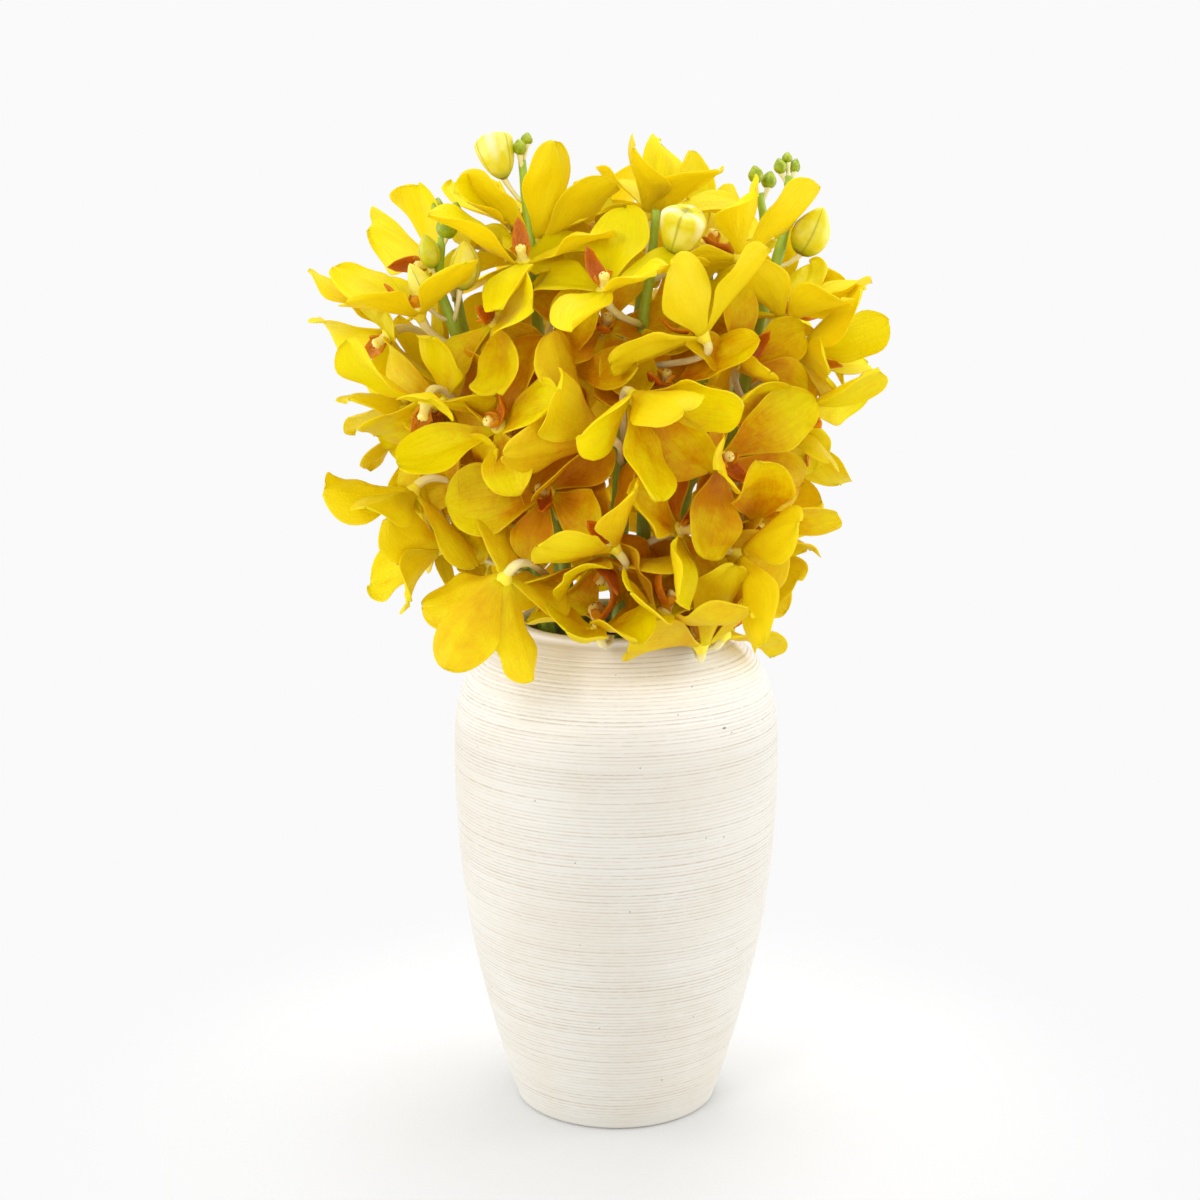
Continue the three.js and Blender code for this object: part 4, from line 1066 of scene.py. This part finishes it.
def add_lobe(shape, bloom, out, inner, side, tone):
    ends = np.linspace(0, 1, LOBE_ROWS)
    s, t = np.meshgrid(ends, 2 * ends - 1, indexing="ij")
    rounding = 1 - (s * LOBE_RATE - LOBE_WIDEST) ** 2 / LOBE_ROUND
    width = LOBE_HALF * np.sqrt(np.clip(rounding, LOBE_LEAST, 1))
    along, outward, apart = LOBE_ROOT
    root = bloom.centre + along * bloom.along + outward * out + side * apart * bloom.across
    way = unit(inner + side * LOBE_SPLAY * bloom.across + LOBE_LEAN * out)
    facing = unit(np.cross(out, way))
    middle = root + (LOBE_LENGTH * s)[..., None] * way + (width * t)[..., None] * out
    middle = middle + (LOBE_CUP * t**2)[..., None] * facing * side
    places = np.stack([t * LOBE_HALF, s * LOBE_ALONG, (1 - np.abs(t)) * width], axis=-1)
    half = LOBE_THICK * np.ones_like(s)
    add_blade(shape, middle, np.broadcast_to(facing, middle.shape), half, places, tone)


def add_hub(shape, bloom):
    """The flared end of the flower stalk, which carries the tepals."""
    path = [bloom.centre + depth * bloom.along for depth in HUB_PLACES]
    places = [[depth, 0] for depth in HUB_PLACES]
    add_tube(shape, path, HUB_RADII, places, [HUB_TONE, 0, 0], sides=15, ribs=5, rib_depth=0.05)


# Stalks, stems and buds.

def add_pedicel(shape, curve):
    u = np.linspace(0, 1, PEDICEL_STEPS)
    flare = PEDICEL_FLARE * smooth(u, *PEDICEL_FLARED)
    foot = PEDICEL_FOOT * (1 - smooth(u, *PEDICEL_FOOTED))
    radii = PEDICEL_RADIUS * (1 + flare + foot)
    places = [[part * PEDICEL_LENGTH, part] for part in u]
    add_tube(shape, bezier(curve, u), radii, places, [1, 0, 0], sides=18, ribs=6, rib_depth=0.1)


def add_bract(shape, curve):
    """A small pointed leaf under the root of a stalk."""
    root = curve[0]
    way = unit(curve[1] - curve[0])
    low = unit(way + BRACT_RISE * UP)
    path = [root + up * UP + out * way + onward * low for up, out, onward in BRACT_PLACES]
    add_tube(shape, path, BRACT_RADII, [[0, 0]] * len(path), [2, 0, 0], sides=10)


def add_stem(shape, spray):
    """A bare straight stem up to the mouth, and the rachis above it."""
    foot = np.array([*spray.layout.foot, FOOT_HEIGHT])
    mouth = np.array([*spray.layout.mouth, MOUTH_HEIGHT])
    below = [foot + (mouth - foot) * part for part in np.linspace(0, STEM_PART, STEM_STEPS)]
    above = curve_through(spray.through, np.linspace(0, len(spray.through) - 1, FINE_RACHIS_STEPS))
    path = np.vstack([below, above])
    radii = np.concatenate([
        np.linspace(STEM_RADIUS, MOUTH_STEM_RADIUS, STEM_STEPS),
        np.linspace(MOUTH_STEM_RADIUS, TIP_RADIUS, FINE_RACHIS_STEPS),
    ])
    knots = 1 + sum(depth * np.sin(path[:, 2] / pitch) for depth, pitch in STEM_KNOTS)
    places = [[point[2], 0] for point in path]
    add_tube(shape, path, radii * knots, places, [0, 0, 0], sides=16, ribs=5, rib_depth=0.03)


def add_bud_stalk(shape, root, heel, along, length):
    middle = (root + heel) / 2 - BUD_STALK_SAG * length * along
    tip = heel + BUD_STALK_DEPTH * length * along
    path = curve_through([root, middle, heel, tip], np.linspace(0, 3, BUD_STALK_STEPS))
    u = np.linspace(0, 1, BUD_STALK_STEPS)
    radii = BUD_STALK_RADIUS + BUD_STALK_FLARE * smooth(u, *BUD_STALK_FLARED)
    places = [[BUD_STALK_LENGTH * part, part] for part in u]
    add_tube(shape, path, radii, places, [1, 0, 0], sides=10, ribs=5, rib_depth=0.06)


def bud_profile(half_open):
    """Places along a bud and its radius there, each as a part of the whole."""
    if half_open:
        rows = curve_through([[*place, 0] for place in CUP], np.linspace(0, len(CUP) - 1, BUD_RINGS))
        return rows[:, 0], rows[:, 1]
    u = np.linspace(0, 1, BUD_RINGS)
    profile = np.sin(math.pi * u ** BUD_WIDEST_LOW) ** BUD_FULLNESS
    return u, profile * (1 - BUD_TIP_THINNER * smooth(u, *BUD_TIP))


def add_bud(stalks, buds, rachis, row, seed, half_open):
    draw = create_draw(BUD_SEED + seed)
    *centre, length, width, root_height = row
    root = rachis_point(rachis, root_height)
    along = unit(unit(centre - root) + BUD_RISE * UP)
    heel = centre - length / 2 * along
    add_bud_stalk(stalks, root, heel, along, length)
    lean = draw([-1, 1]) * BUD_LEAN * length
    side = unit(np.cross(along, UP))
    u, profile = bud_profile(half_open)
    path = [heel + length * part * along + lean * math.sin(math.pi * part) * side for part in u]
    radii = np.maximum(width / 2 * profile, BUD_LEAST_RADIUS)
    places = [[length * part, part] for part in u]
    big = smooth(length, *BUD_BIG)
    depth = OPEN_RIB_DEPTH if half_open else BUD_RIB_DEPTH + BIG_RIB_DEPTH * big
    add_tube(buds, path, radii, places, [big, half_open, 0], sides=24, ribs=3, rib_depth=depth)


# The vase.

def outside_rows():
    """The outside from the foot to the rim as [radius, height, groove], a row to each line."""
    steps = np.linspace(0, len(VASE_OUTLINE) - 1, VASE_FINE_STEPS)
    fine = curve_through([[radius, height, 0] for radius, height in VASE_OUTLINE], steps)
    foot_radius = VASE_OUTLINE[0][0]
    rows = [
        [0, 0, 0],
        [FOOT_RING, 0, 0],
        [FOOT_RING + FOOT_ROUND, 0, 0],
        [foot_radius - FOOT_EDGE[0], FOOT_EDGE[1], 0],
    ]
    draw = create_draw(VASE_SEED)
    height = FIRST_GROOVE
    while height < GROOVES_END:
        pitch = GROOVE_PITCH * draw(PITCH_RANGE)
        depth = draw(DEPTH_RANGE) if height > GROOVES_START else FAINT_GROOVE
        for part, deep in zip(GROOVE_PARTS, [0, GROOVE_SIDE, depth]):
            at = height + part * pitch
            rows.append([np.interp(at, fine[:, 1], fine[:, 0]), at, deep])
        height += pitch
    for at in np.linspace(height, VASE_OUTLINE[-1][1], NECK_STEPS):
        rows.append([np.interp(at, fine[:, 1], fine[:, 0]), at, 0])
    return rows


def inset(distance, lowest):
    """The vase's outline moved in by a distance, as the model has it."""
    rows = []
    for i in range(1, len(VASE_OUTLINE)):
        before = VASE_OUTLINE[i - 1]
        after = VASE_OUTLINE[min(i + 1, len(VASE_OUTLINE) - 1)]
        wider, higher = after[0] - before[0], after[1] - before[1]
        run = math.hypot(wider, higher)
        radius, height = VASE_OUTLINE[i]
        rows.append([radius - distance * higher / run, max(height + distance * wider / run, lowest)])
    return rows


def inside_rows():
    """The rounded rim, the inner wall and the floor, as the outside's rows."""
    rim_radius, rim_height = VASE_OUTLINE[-1]
    lip = VASE_WALL / 2
    rim = [
        [rim_radius - lip + lip * math.cos(turn), rim_height + lip * math.sin(turn), 0]
        for turn in np.linspace(0, math.pi, RIM_STEPS)[1:]
    ]
    inner = inset(VASE_WALL, VASE_FLOOR + COVE_HEIGHT)[::-1][1:]
    steps = np.linspace(0, len(inner) - 1, INNER_STEPS)
    wall = curve_through([[radius, height, 0] for radius, height in inner], steps)
    floor_radius = VASE_OUTLINE[0][0] - VASE_WALL
    floor = [[floor_radius - inward, VASE_FLOOR + height, 0] for inward, height in FLOOR_COVE]
    return [*rim, *wall, *floor, [0, VASE_FLOOR, 0]]


def make_vase(material):
    rows = np.array(outside_rows() + inside_rows())
    turns = np.linspace(0, 2 * math.pi, VASE_SIDES, endpoint=False)
    draw = create_draw(VASE_SEED + 1)
    phases = np.array([[draw(FULL_TURN) for _ in GROOVE_WAVES] for _ in rows])
    wave = sum(
        part * np.sin(count * turns + phases[:, i:i + 1])
        for i, (count, part) in enumerate(GROOVE_WAVES)
    )
    groove = rows[:, 2:] * np.clip(GROOVE_MIDDLE + GROOVE_CHANGE * wave, *GROOVE_LIMITS)
    radius = rows[:, :1] - GROOVE_DEPTH * groove
    level = rows[:, 1:2]
    waver = WAVER * np.sin(turns + WAVER_TURN * level) * smooth(level, *WAVER_IN) * (rows[:, 2:] > 0)
    height = level + waver
    shape = Shape()
    shape.add(
        np.stack([radius * np.cos(turns), radius * np.sin(turns), height], axis=-1),
        grid_faces(len(rows), VASE_SIDES, wraps=True).tolist(),
        np.stack([0 * radius, height, groove], axis=-1).reshape(-1, 3),
        [0, 0, 0],
    )
    vase = shape.piece("vase_body", material, slot="vase_ceramic")
    join_poles(vase)
    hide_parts("vase")
    return vase


def join_poles(piece):
    """Join the corners that fall together where the outline meets the axis."""
    mesh = bmesh.new()
    mesh.from_mesh(piece.data)
    bmesh.ops.remove_doubles(mesh, verts=mesh.verts, dist=SAME_PLACE)
    mesh.to_mesh(piece.data)
    mesh.free()


# Materials.

def linear(red, green, blue):
    """A colour given as seen on a screen, from 0 to 255, as the shader wants it."""
    values = [value / 255 for value in (red, green, blue)]
    return (*[v / 12.92 if v <= 0.04045 else ((v + 0.055) / 1.055) ** 2.4 for v in values], 1)


class Nodes:
    """A material's nodes, made one by one and joined as they are made."""

    def __init__(self, name):
        self.material = bpy.data.materials.new(name)
        self.material.use_nodes = True
        self.tree = self.material.node_tree
        self.tree.nodes.clear()

    def add(self, kind, inputs, output=0, **settings):
        node = self.tree.nodes.new(kind)
        for name, value in settings.items():
            setattr(node, name, value)
        for key, value in inputs.items():
            self.set(node.inputs[key], value)
        return node.outputs[output]

    def set(self, socket, value):
        """Join a socket to another or give it a value. A list is a colour as seen on a screen."""
        if isinstance(value, bpy.types.NodeSocket):
            self.tree.links.new(value, socket)
        else:
            socket.default_value = linear(*value) if isinstance(value, list) else value

    def attribute(self, name):
        return self.add("ShaderNodeAttribute", {}, output="Vector", attribute_name=name)

    def position(self):
        return self.add("ShaderNodeNewGeometry", {}, output="Position")

    def parts(self, vector):
        node = self.tree.nodes.new("ShaderNodeSeparateXYZ")
        self.set(node.inputs[0], vector)
        return node.outputs[0], node.outputs[1], node.outputs[2]

    def vector(self, x, y, z):
        return self.add("ShaderNodeCombineXYZ", {0: x, 1: y, 2: z})

    def scaled(self, vector, scales):
        return self.add("ShaderNodeVectorMath", {0: vector, 1: scales}, operation="MULTIPLY")

    def distance(self, vector):
        return self.add("ShaderNodeVectorMath", {0: vector}, output="Value", operation="LENGTH")

    def plus(self, a, b):
        return self.add("ShaderNodeMath", {0: a, 1: b}, operation="ADD")

    def minus(self, a, b):
        return self.add("ShaderNodeMath", {0: a, 1: b}, operation="SUBTRACT")

    def times(self, a, b):
        return self.add("ShaderNodeMath", {0: a, 1: b}, operation="MULTIPLY")

    def between(self, value, low, high, to_low=0.0, to_high=1.0):
        """Where value lies between low and high, with smooth ends."""
        return self.add(
            "ShaderNodeMapRange",
            {"Value": value, "From Min": low, "From Max": high, "To Min": to_low, "To Max": to_high},
            interpolation_type="SMOOTHSTEP",
        )

    def mix(self, share, a, b):
        """Two colours mixed. They are the sockets 6 and 7 of the node, and its output 2 is the mix."""
        return self.add("ShaderNodeMix", {"Factor": share, 6: a, 7: b}, output=2, data_type="RGBA")

    def layered(self, colour, *layers):
        """A colour with others over it, each as its share and itself.

        A share may be a value with its places of 0 and 1, and the shares there if others.
        """
        for value, *ends, over in layers:
            colour = self.mix(self.between(value, *ends) if ends else value, colour, over)
        return colour

    def noise(self, vector, scale, detail=2.0, roughness=0.5):
        return self.add(
            "ShaderNodeTexNoise",
            {"Vector": vector, "Scale": scale, "Detail": detail, "Roughness": roughness},
        )

    def spots(self, vector, scale):
        """The distance to the nearest of many scattered spots."""
        return self.add("ShaderNodeTexVoronoi", {"Vector": vector, "Scale": scale}, output="Distance")

    def relief(self, *layers):
        """Bumps over one another, each as its height, its strength and its depth in metres."""
        normal = None
        for height, strength, depth in layers:
            inputs = {"Height": height, "Strength": strength, "Distance": depth}
            if normal is not None:
                inputs["Normal"] = normal
            normal = self.add("ShaderNodeBump", inputs)
        return normal

    def surface(self, colour, roughness, specular, more):
        inputs = {"Base Color": colour, "Roughness": roughness, "Specular IOR Level": specular}
        return self.add("ShaderNodeBsdfPrincipled", {**inputs, **more})

    def finish(self, shader):
        output = self.tree.nodes.new("ShaderNodeOutputMaterial")
        self.set(output.inputs["Surface"], shader)
        return self.material


def petal_shade(nodes, gold, along, blotches, mottle):
    """How deep the yellow is, deeper at the root but not on the narrow claw."""
    shade = nodes.plus(gold, nodes.minus(blotches, 0.5))
    shade = nodes.plus(shade, nodes.times(nodes.minus(mottle, 0.5), MOTTLE_SHARE))
    shade = nodes.plus(shade, nodes.between(along, *PETAL_DEEP_ROOT))
    return nodes.minus(shade, nodes.between(along, *PETAL_PALE_CLAW))


def petal_specks(nodes, blotch_at, fine):
    """The share of a few small brown specks, which lie in some places only."""
    near = nodes.plus(nodes.spots(blotch_at, SPECK_SCALE), nodes.times(fine, SPECK_ROUGHNESS))
    rare = nodes.between(nodes.noise(blotch_at, scale=0.045, detail=1), *PETAL_SPECK_PLACES)
    share = nodes.times(nodes.between(near, *PETAL_SPECKS), rare)
    return nodes.times(share, SPECK_SHARE)


def petal_material():
    nodes = Nodes("orchid_petal")
    across, along, edge = nodes.parts(nodes.attribute("place"))
    # gold carries the painted light at the top and sides of the bouquet and the painted shade inside it.
    gold, under, seed = nodes.parts(nodes.attribute("tone"))
    blotch_at = nodes.vector(nodes.plus(across, nodes.times(seed, PETALS_APART)), along, seed)
    blotches = nodes.noise(blotch_at, scale=0.11, detail=3, roughness=0.6)
    mottle = nodes.noise(blotch_at, scale=0.5, detail=4, roughness=0.65)
    fine = nodes.noise(blotch_at, scale=1.6, detail=3, roughness=0.6)
    vein_at = [nodes.times(part, scale) for part, scale in zip([across, along, seed], VEIN_SCALES)]
    veins = nodes.noise(nodes.vector(*vein_at), scale=1, detail=4, roughness=0.6)
    shade = petal_shade(nodes, gold, along, blotches, mottle)
    colour = nodes.layered(
        LEMON,
        [shade, 0, 0.45, YELLOW],
        [shade, 0.35, 0.95, GOLD],
        [shade, 0.85, 1.6, AMBER],
    )
    vein_colour = nodes.mix(nodes.between(shade, *PETAL_VEIN_COLOUR), PALE_VEIN, VEIN)
    vein_share = nodes.between(veins, *PETAL_VEINS)
    colour = nodes.layered(
        colour,
        [nodes.times(vein_share, nodes.between(along, *PETAL_VEIN_LENGTH)), vein_colour],
        [fine, 0.45, 0.75, 0, 0.25, vein_colour],
        [nodes.times(under, UNDERSIDE_SHARE), UNDERSIDE],
        # A pale margin, partly painted rim light where light shines through the thin edge.
        [edge, 0.8, 0, 0, 0.6, PALE_EDGE_AND_RIM_LIGHT],
        [petal_specks(nodes, blotch_at, fine), SPECK],
    )
    relief = nodes.relief([mottle, 0.5, 0.0006], [veins, 0.45, 0.0004], [fine, 0.3, 0.0002])
    roughness = nodes.between(fine, *PETAL_ROUGHNESS)
    surface = nodes.surface(colour, roughness, 0.16, {"Normal": relief})
    glow = nodes.mix(GLOW_SHARE, colour, GLOW)
    through = nodes.add("ShaderNodeBsdfTranslucent", {"Color": glow, "Normal": relief})
    return nodes.finish(nodes.add("ShaderNodeMixShader", {0: PETAL_THROUGH, 1: surface, 2: through}))


def centre_material():
    """Hub and column in cream yellow, and the lip in red brown from tone 2 upwards."""
    nodes = Nodes("orchid_centre")
    place = nodes.attribute("place")
    _, along, edge = nodes.parts(place)
    kind, _, _ = nodes.parts(nodes.attribute("tone"))
    speckle = nodes.noise(place, scale=0.9, detail=3)
    cream = nodes.layered(
        COLUMN_PALE,
        [speckle, 0.35, 0.7, COLUMN_YELLOW],
        [kind, 0.3, 0.5, HUB_YELLOW],
        [kind, 0.8, 1, SPECK],
    )
    red = nodes.layered(
        LIP_ORANGE,
        [kind, 2.3, 3, LIP_RED],
        [speckle, 0.3, 0.7, 0, 0.5, LIP_DARK],
        [along, 5, 0, 0, 0.75, LIP_THROAT],
        [edge, 0.6, 0, 0, 0.4, LIP_ORANGE],
    )
    colour = nodes.mix(nodes.between(kind, *CENTRE_LIP), cream, red)
    return nodes.finish(nodes.surface(colour, 0.4, 0.22, {
        "Subsurface Weight": 0.1,
        "Subsurface Scale": 0.002,
        "Normal": nodes.relief([speckle, 0.3, 0.0003]),
    }))


def stem_material():
    """Kind 0 is a stem, 1 a flower stalk that pales away from the stem, and 2 a bract."""
    nodes = Nodes("orchid_stem")
    place = nodes.attribute("place")
    _, along, part = nodes.parts(place)
    kind, _, _ = nodes.parts(nodes.attribute("tone"))
    streaks = nodes.noise(place, scale=0.35, detail=3, roughness=0.6)
    green = nodes.layered(
        STEM_GREEN,
        [along, 195, 285, RACHIS_GREEN],
        [streaks, 0.35, 0.7, 0, 0.45, STEM_LIGHT],
    )
    stalk = nodes.layered(
        RACHIS_GREEN,
        [part, 0, 0.3, STALK_CREAM],
        [part, 0.75, 1, 0, 0.8, STALK_YELLOW],
        [streaks, 0.4, 0.75, 0, 0.35, STALK_GREEN],
    )
    colour = nodes.layered(
        green, [kind, 0.3, 0.7, stalk], [kind, 1.3, 1.7, BRACT],
    )
    relief = nodes.relief([streaks, 0.3, 0.0004])
    return nodes.finish(nodes.surface(colour, 0.42, 0.4, {"Normal": relief}))


def bud_material():
    """Small buds are green, and big ones pale with dark seams. Half-open ones have white stripes."""
    nodes = Nodes("orchid_bud")
    ribs, _, part = nodes.parts(nodes.attribute("place"))
    big, opening, _ = nodes.parts(nodes.attribute("tone"))
    position = nodes.position()
    streaks = nodes.noise(position, scale=420, detail=3, roughness=0.6)
    soft = nodes.noise(position, scale=120, detail=2)
    green = nodes.mix(nodes.between(streaks, *LIME_RANGE), BUD_GREEN, BUD_LIME)
    pale = nodes.mix(nodes.between(soft, *CREAM_RANGE), BUD_YELLOW, BUD_CREAM)
    stripes = nodes.times(nodes.between(ribs, *BUD_STRIPES), nodes.between(part, *BUD_STRIPE_LENGTH))
    heel = nodes.times(nodes.between(part, *BUD_HEEL), nodes.between(big, *BUD_BIG_HEEL))
    colour = nodes.layered(
        green,
        [big, 0.2, 0.9, pale],
        [part, 0.3, 0, 0, 0.75, BUD_GREEN],
        [ribs, -0.86, -1, 0, 0.6, BUD_SEAM],
        [nodes.times(stripes, opening), BUD_WHITE],
        [heel, SPECK],
    )
    return nodes.finish(nodes.surface(colour, 0.42, 0.35, {
        "Subsurface Weight": 0.2,
        "Subsurface Scale": 0.003,
        "Normal": nodes.relief([streaks, 0.2, 0.0003]),
    }))


def vase_spots(nodes, position):
    rare = nodes.between(nodes.noise(position, scale=150, detail=1), *VASE_SPOT_PLACES)
    return nodes.times(nodes.between(nodes.spots(position, CLAY_SPOT_SCALE), *VASE_SPOTS), rare)


def vase_nick(nodes, position):
    away = nodes.add("ShaderNodeVectorMath", {0: position, 1: NICK_PLACE}, operation="SUBTRACT")
    return nodes.between(nodes.distance(nodes.scaled(away, NICK_SCALES)), *VASE_NICK)


def vase_material():
    """Unglazed cream clay, with dirt and painted shade in its grooves, painted light towards the shoulder,
    fine specks, pits and one nick.
    """
    nodes = Nodes("vase_clay")
    _, height, groove = nodes.parts(nodes.attribute("place"))
    position = nodes.position()
    clouds = nodes.noise(position, scale=22, detail=4, roughness=0.6)
    grain = nodes.noise(position, scale=1400, detail=2)
    lines = nodes.noise(nodes.scaled(position, LINE_SCALES), scale=1.3, detail=3, roughness=0.6)
    breaks = nodes.noise(nodes.scaled(position, BREAK_SCALES), scale=1, detail=3, roughness=0.6)
    # Dirt and painted shade in the valleys of the grooves, broken here and there.
    groove_dirt_and_shade = nodes.times(
        nodes.between(groove, *VASE_GROOVE), nodes.between(breaks, *VASE_BREAKS),
    )
    colour = nodes.layered(
        CLAY_LIGHT,
        [clouds, 0.35, 0.7, CLAY],
        # Painted light: lighter towards the shoulder, to lift the shade that the flowers cast on it.
        [height, 150, 192, CLAY_PAINTED_LIGHT],
        [lines, 0.42, 0.7, 0, 0.3, CLAY_LINE],
        [groove_dirt_and_shade, CLAY_GROOVE_DIRT_AND_SHADE],
        [vase_spots(nodes, position), CLAY_SPOT],
        [vase_nick(nodes, position), CLAY_SPOT],
    )
    return nodes.finish(nodes.surface(colour, 0.82, 0.2, {
        "Normal": nodes.relief([lines, 0.4, 0.0003], [grain, 0.25, 0.0002]),
        "Sheen Weight": 0.25,
        "Sheen Roughness": 0.4,
    }))


def water_material():
    nodes = Nodes("water_clear")
    ripples = nodes.noise(nodes.position(), scale=40, detail=2)
    tint = nodes.mix(nodes.between(ripples, *RIPPLE_MIX), WATER_CLEAR, WATER_GREEN)
    return nodes.finish(nodes.surface(tint, 0.05, 0.5, {
        "IOR": 1.33,
        "Transmission Weight": 0.85,
        "Normal": nodes.relief([ripples, 0.1, 0.001]),
    }))


def floor_material():
    """White paper that fades out into the white behind it."""
    nodes = Nodes("floor_paper")
    position = nodes.position()
    grain = nodes.noise(position, scale=900, detail=2)
    tint = nodes.mix(nodes.between(grain, *PAPER_MIX), FLOOR_WHITE, FLOOR_SHADE)
    paper = nodes.surface(tint, 0.9, 0.1, {})
    clear = nodes.add("ShaderNodeBsdfTransparent", {})
    fade = nodes.between(nodes.distance(position), *FLOOR_FADE)
    return nodes.finish(nodes.add("ShaderNodeMixShader", {0: fade, 1: paper, 2: clear}))


# Everything together.

def inside(points):
    """How far towards the middle of the ball of blooms, from 0 at its surface to 1, which sets the petals'
    painted shade.
    """
    height = points[..., 2] - DOME_MIDDLE
    tall = np.where(height > 0, DOME_TALL, DOME_DEEP)
    parts = [points[..., 0] / DOME_WIDE, points[..., 1] / DOME_WIDE, height / tall]
    return 1 - smooth(np.linalg.norm(parts, axis=0), *DOME_SHELL)


def bloom_gold(flower):
    """How deep a bloom's yellow is, from 0 or less for lemon to 1 for gold, with painted light that makes
    it paler at the top and the sides.
    """
    if flower.bloom.index in LEMON_BLOOMS:
        return LEMON_GOLD
    x, _, z = flower.bloom.centre
    draw = create_draw(GOLD_SEED + flower.bloom.index)
    # Painted light: blooms high up and out at the sides are made paler, as if lit more.
    painted_light = PAINTED_LIGHT_AT_TOP * smooth(z, *PAINTED_LIGHT_HEIGHTS) + PAINTED_LIGHT_AT_SIDES * smooth(abs(x), *PAINTED_LIGHT_SIDES)
    return GOLD_MIDDLE - painted_light + draw(BLOOM_GOLD)


def add_bloom(petals, centres, flower):
    bloom = flower.bloom
    draw = create_draw(CENTRE_SEED + CENTRE_SEED_STEP * bloom.index)
    gold = bloom_gold(flower)
    for k, (tepal, bend) in enumerate(zip(bloom.tepals, flower.bends)):
        if bend is not None:
            tint = min(gold + draw(TEPAL_GOLD), 1)
            add_tepal(petals, bloom, tepal, bend, tint, bloom.index * TEPALS + k + 1)
    add_hub(centres, bloom)
    add_column(centres, bloom, draw)
    add_lip(centres, bloom, draw)


def sagged(points):
    """Points of a flower, let down a little where they are low at the front of the vase."""
    x, y, height = np.moveaxis(points, -1, 0)
    share = (1 - smooth(height, *SAG_HEIGHTS)) * smooth(-y, *SAG_FRONT) * smooth(x, *SAG_SIDE)
    radii, heights = np.array(VASE_OUTLINE[:-SHOULDER_POINTS - 1:-1]).T
    top = np.interp(np.hypot(x, y), radii, heights, left=VASE_OUTLINE[-1][1] + VASE_WALL / 2)
    lowest = np.minimum(height, top + SAG_GAP)
    return np.stack([x, y, np.maximum(height - SAG * share, lowest)], axis=-1)


def make_spray(spray, materials):
    petals, centres, stalks, buds = Shape(), Shape(), Shape(), Shape()
    add_stem(stalks, spray)
    for flower in spray.flowers:
        add_bloom(petals, centres, flower)
        add_pedicel(stalks, flower.pedicel)
        add_bract(stalks, flower.pedicel)
    for i, row in enumerate(spray.layout.buds):
        add_bud(stalks, buds, spray.rachis, row, i, i == 0 and spray.name in HALF_OPEN)
    for shape in [petals, centres, stalks]:
        shape.points = [sagged(points) for points in shape.points]
    made = petals.piece(spray.name + "_petals", materials["petal"])
    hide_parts(spray.name)
    centres.piece(spray.name + "_centres", materials["centre"])
    stalks.piece(spray.name + "_stems", materials["stem"])
    if spray.layout.buds:
        buds.piece(spray.name + "_buds", materials["bud"])


def make_flowers():
    materials = {
        "petal": petal_material(),
        "centre": centre_material(),
        "stem": stem_material(),
        "bud": bud_material(),
    }
    for spray in grow_sprays():
        make_spray(spray, materials)


def finish_water():
    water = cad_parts["water"]
    water.data.materials.clear()
    water.data.materials.append(water_material())


def make_floor():
    mesh = bpy.data.meshes.new("floor_paper")
    turns = np.linspace(0, 2 * math.pi, FLOOR_SIDES, endpoint=False)
    corners = [(FLOOR_RADIUS * math.cos(a), FLOOR_RADIUS * math.sin(a), 0) for a in turns]
    mesh.from_pydata(corners, [], [list(range(FLOOR_SIDES))])
    mesh.materials.append(floor_material())
    floor = bpy.data.objects.new("floor_paper", mesh)
    bpy.context.scene.collection.objects.link(floor)


def make_camera():
    camera = bpy.data.cameras.new("camera")
    camera.lens = CAMERA_LENS
    camera.sensor_width = CAMERA_SENSOR
    camera.clip_end = CAMERA_FAR
    holder = bpy.data.objects.new("camera", camera)
    holder.location = [value * MM for value in CAMERA_PLACE]
    holder.rotation_euler = [math.radians(90 - CAMERA_DOWN), 0, 0]
    bpy.context.scene.collection.objects.link(holder)
    bpy.context.scene.camera = holder


def make_light(name, place, size, power, colour):
    light = bpy.data.lights.new(name, "AREA")
    light.shape = "DISK"
    light.size = size
    light.energy = power
    light.color = colour
    holder = bpy.data.objects.new(name, light)
    holder.location = place
    aim = Vector(LIGHT_AIM) - Vector(place)
    holder.rotation_euler = aim.to_track_quat("-Z", "Y").to_euler()
    bpy.context.scene.collection.objects.link(holder)


def make_world():
    world = bpy.data.worlds.new("studio")
    world.use_nodes = True
    background = world.node_tree.nodes["Background"]
    background.inputs["Color"].default_value = WORLD_WHITE
    background.inputs["Strength"].default_value = 1
    bpy.context.scene.world = world
    bpy.context.scene.view_settings.view_transform = "Standard"


make_camera()
make_world()
for light in LIGHTS:
    make_light(*light)
make_floor()
make_vase(vase_material())
finish_water()
make_flowers()
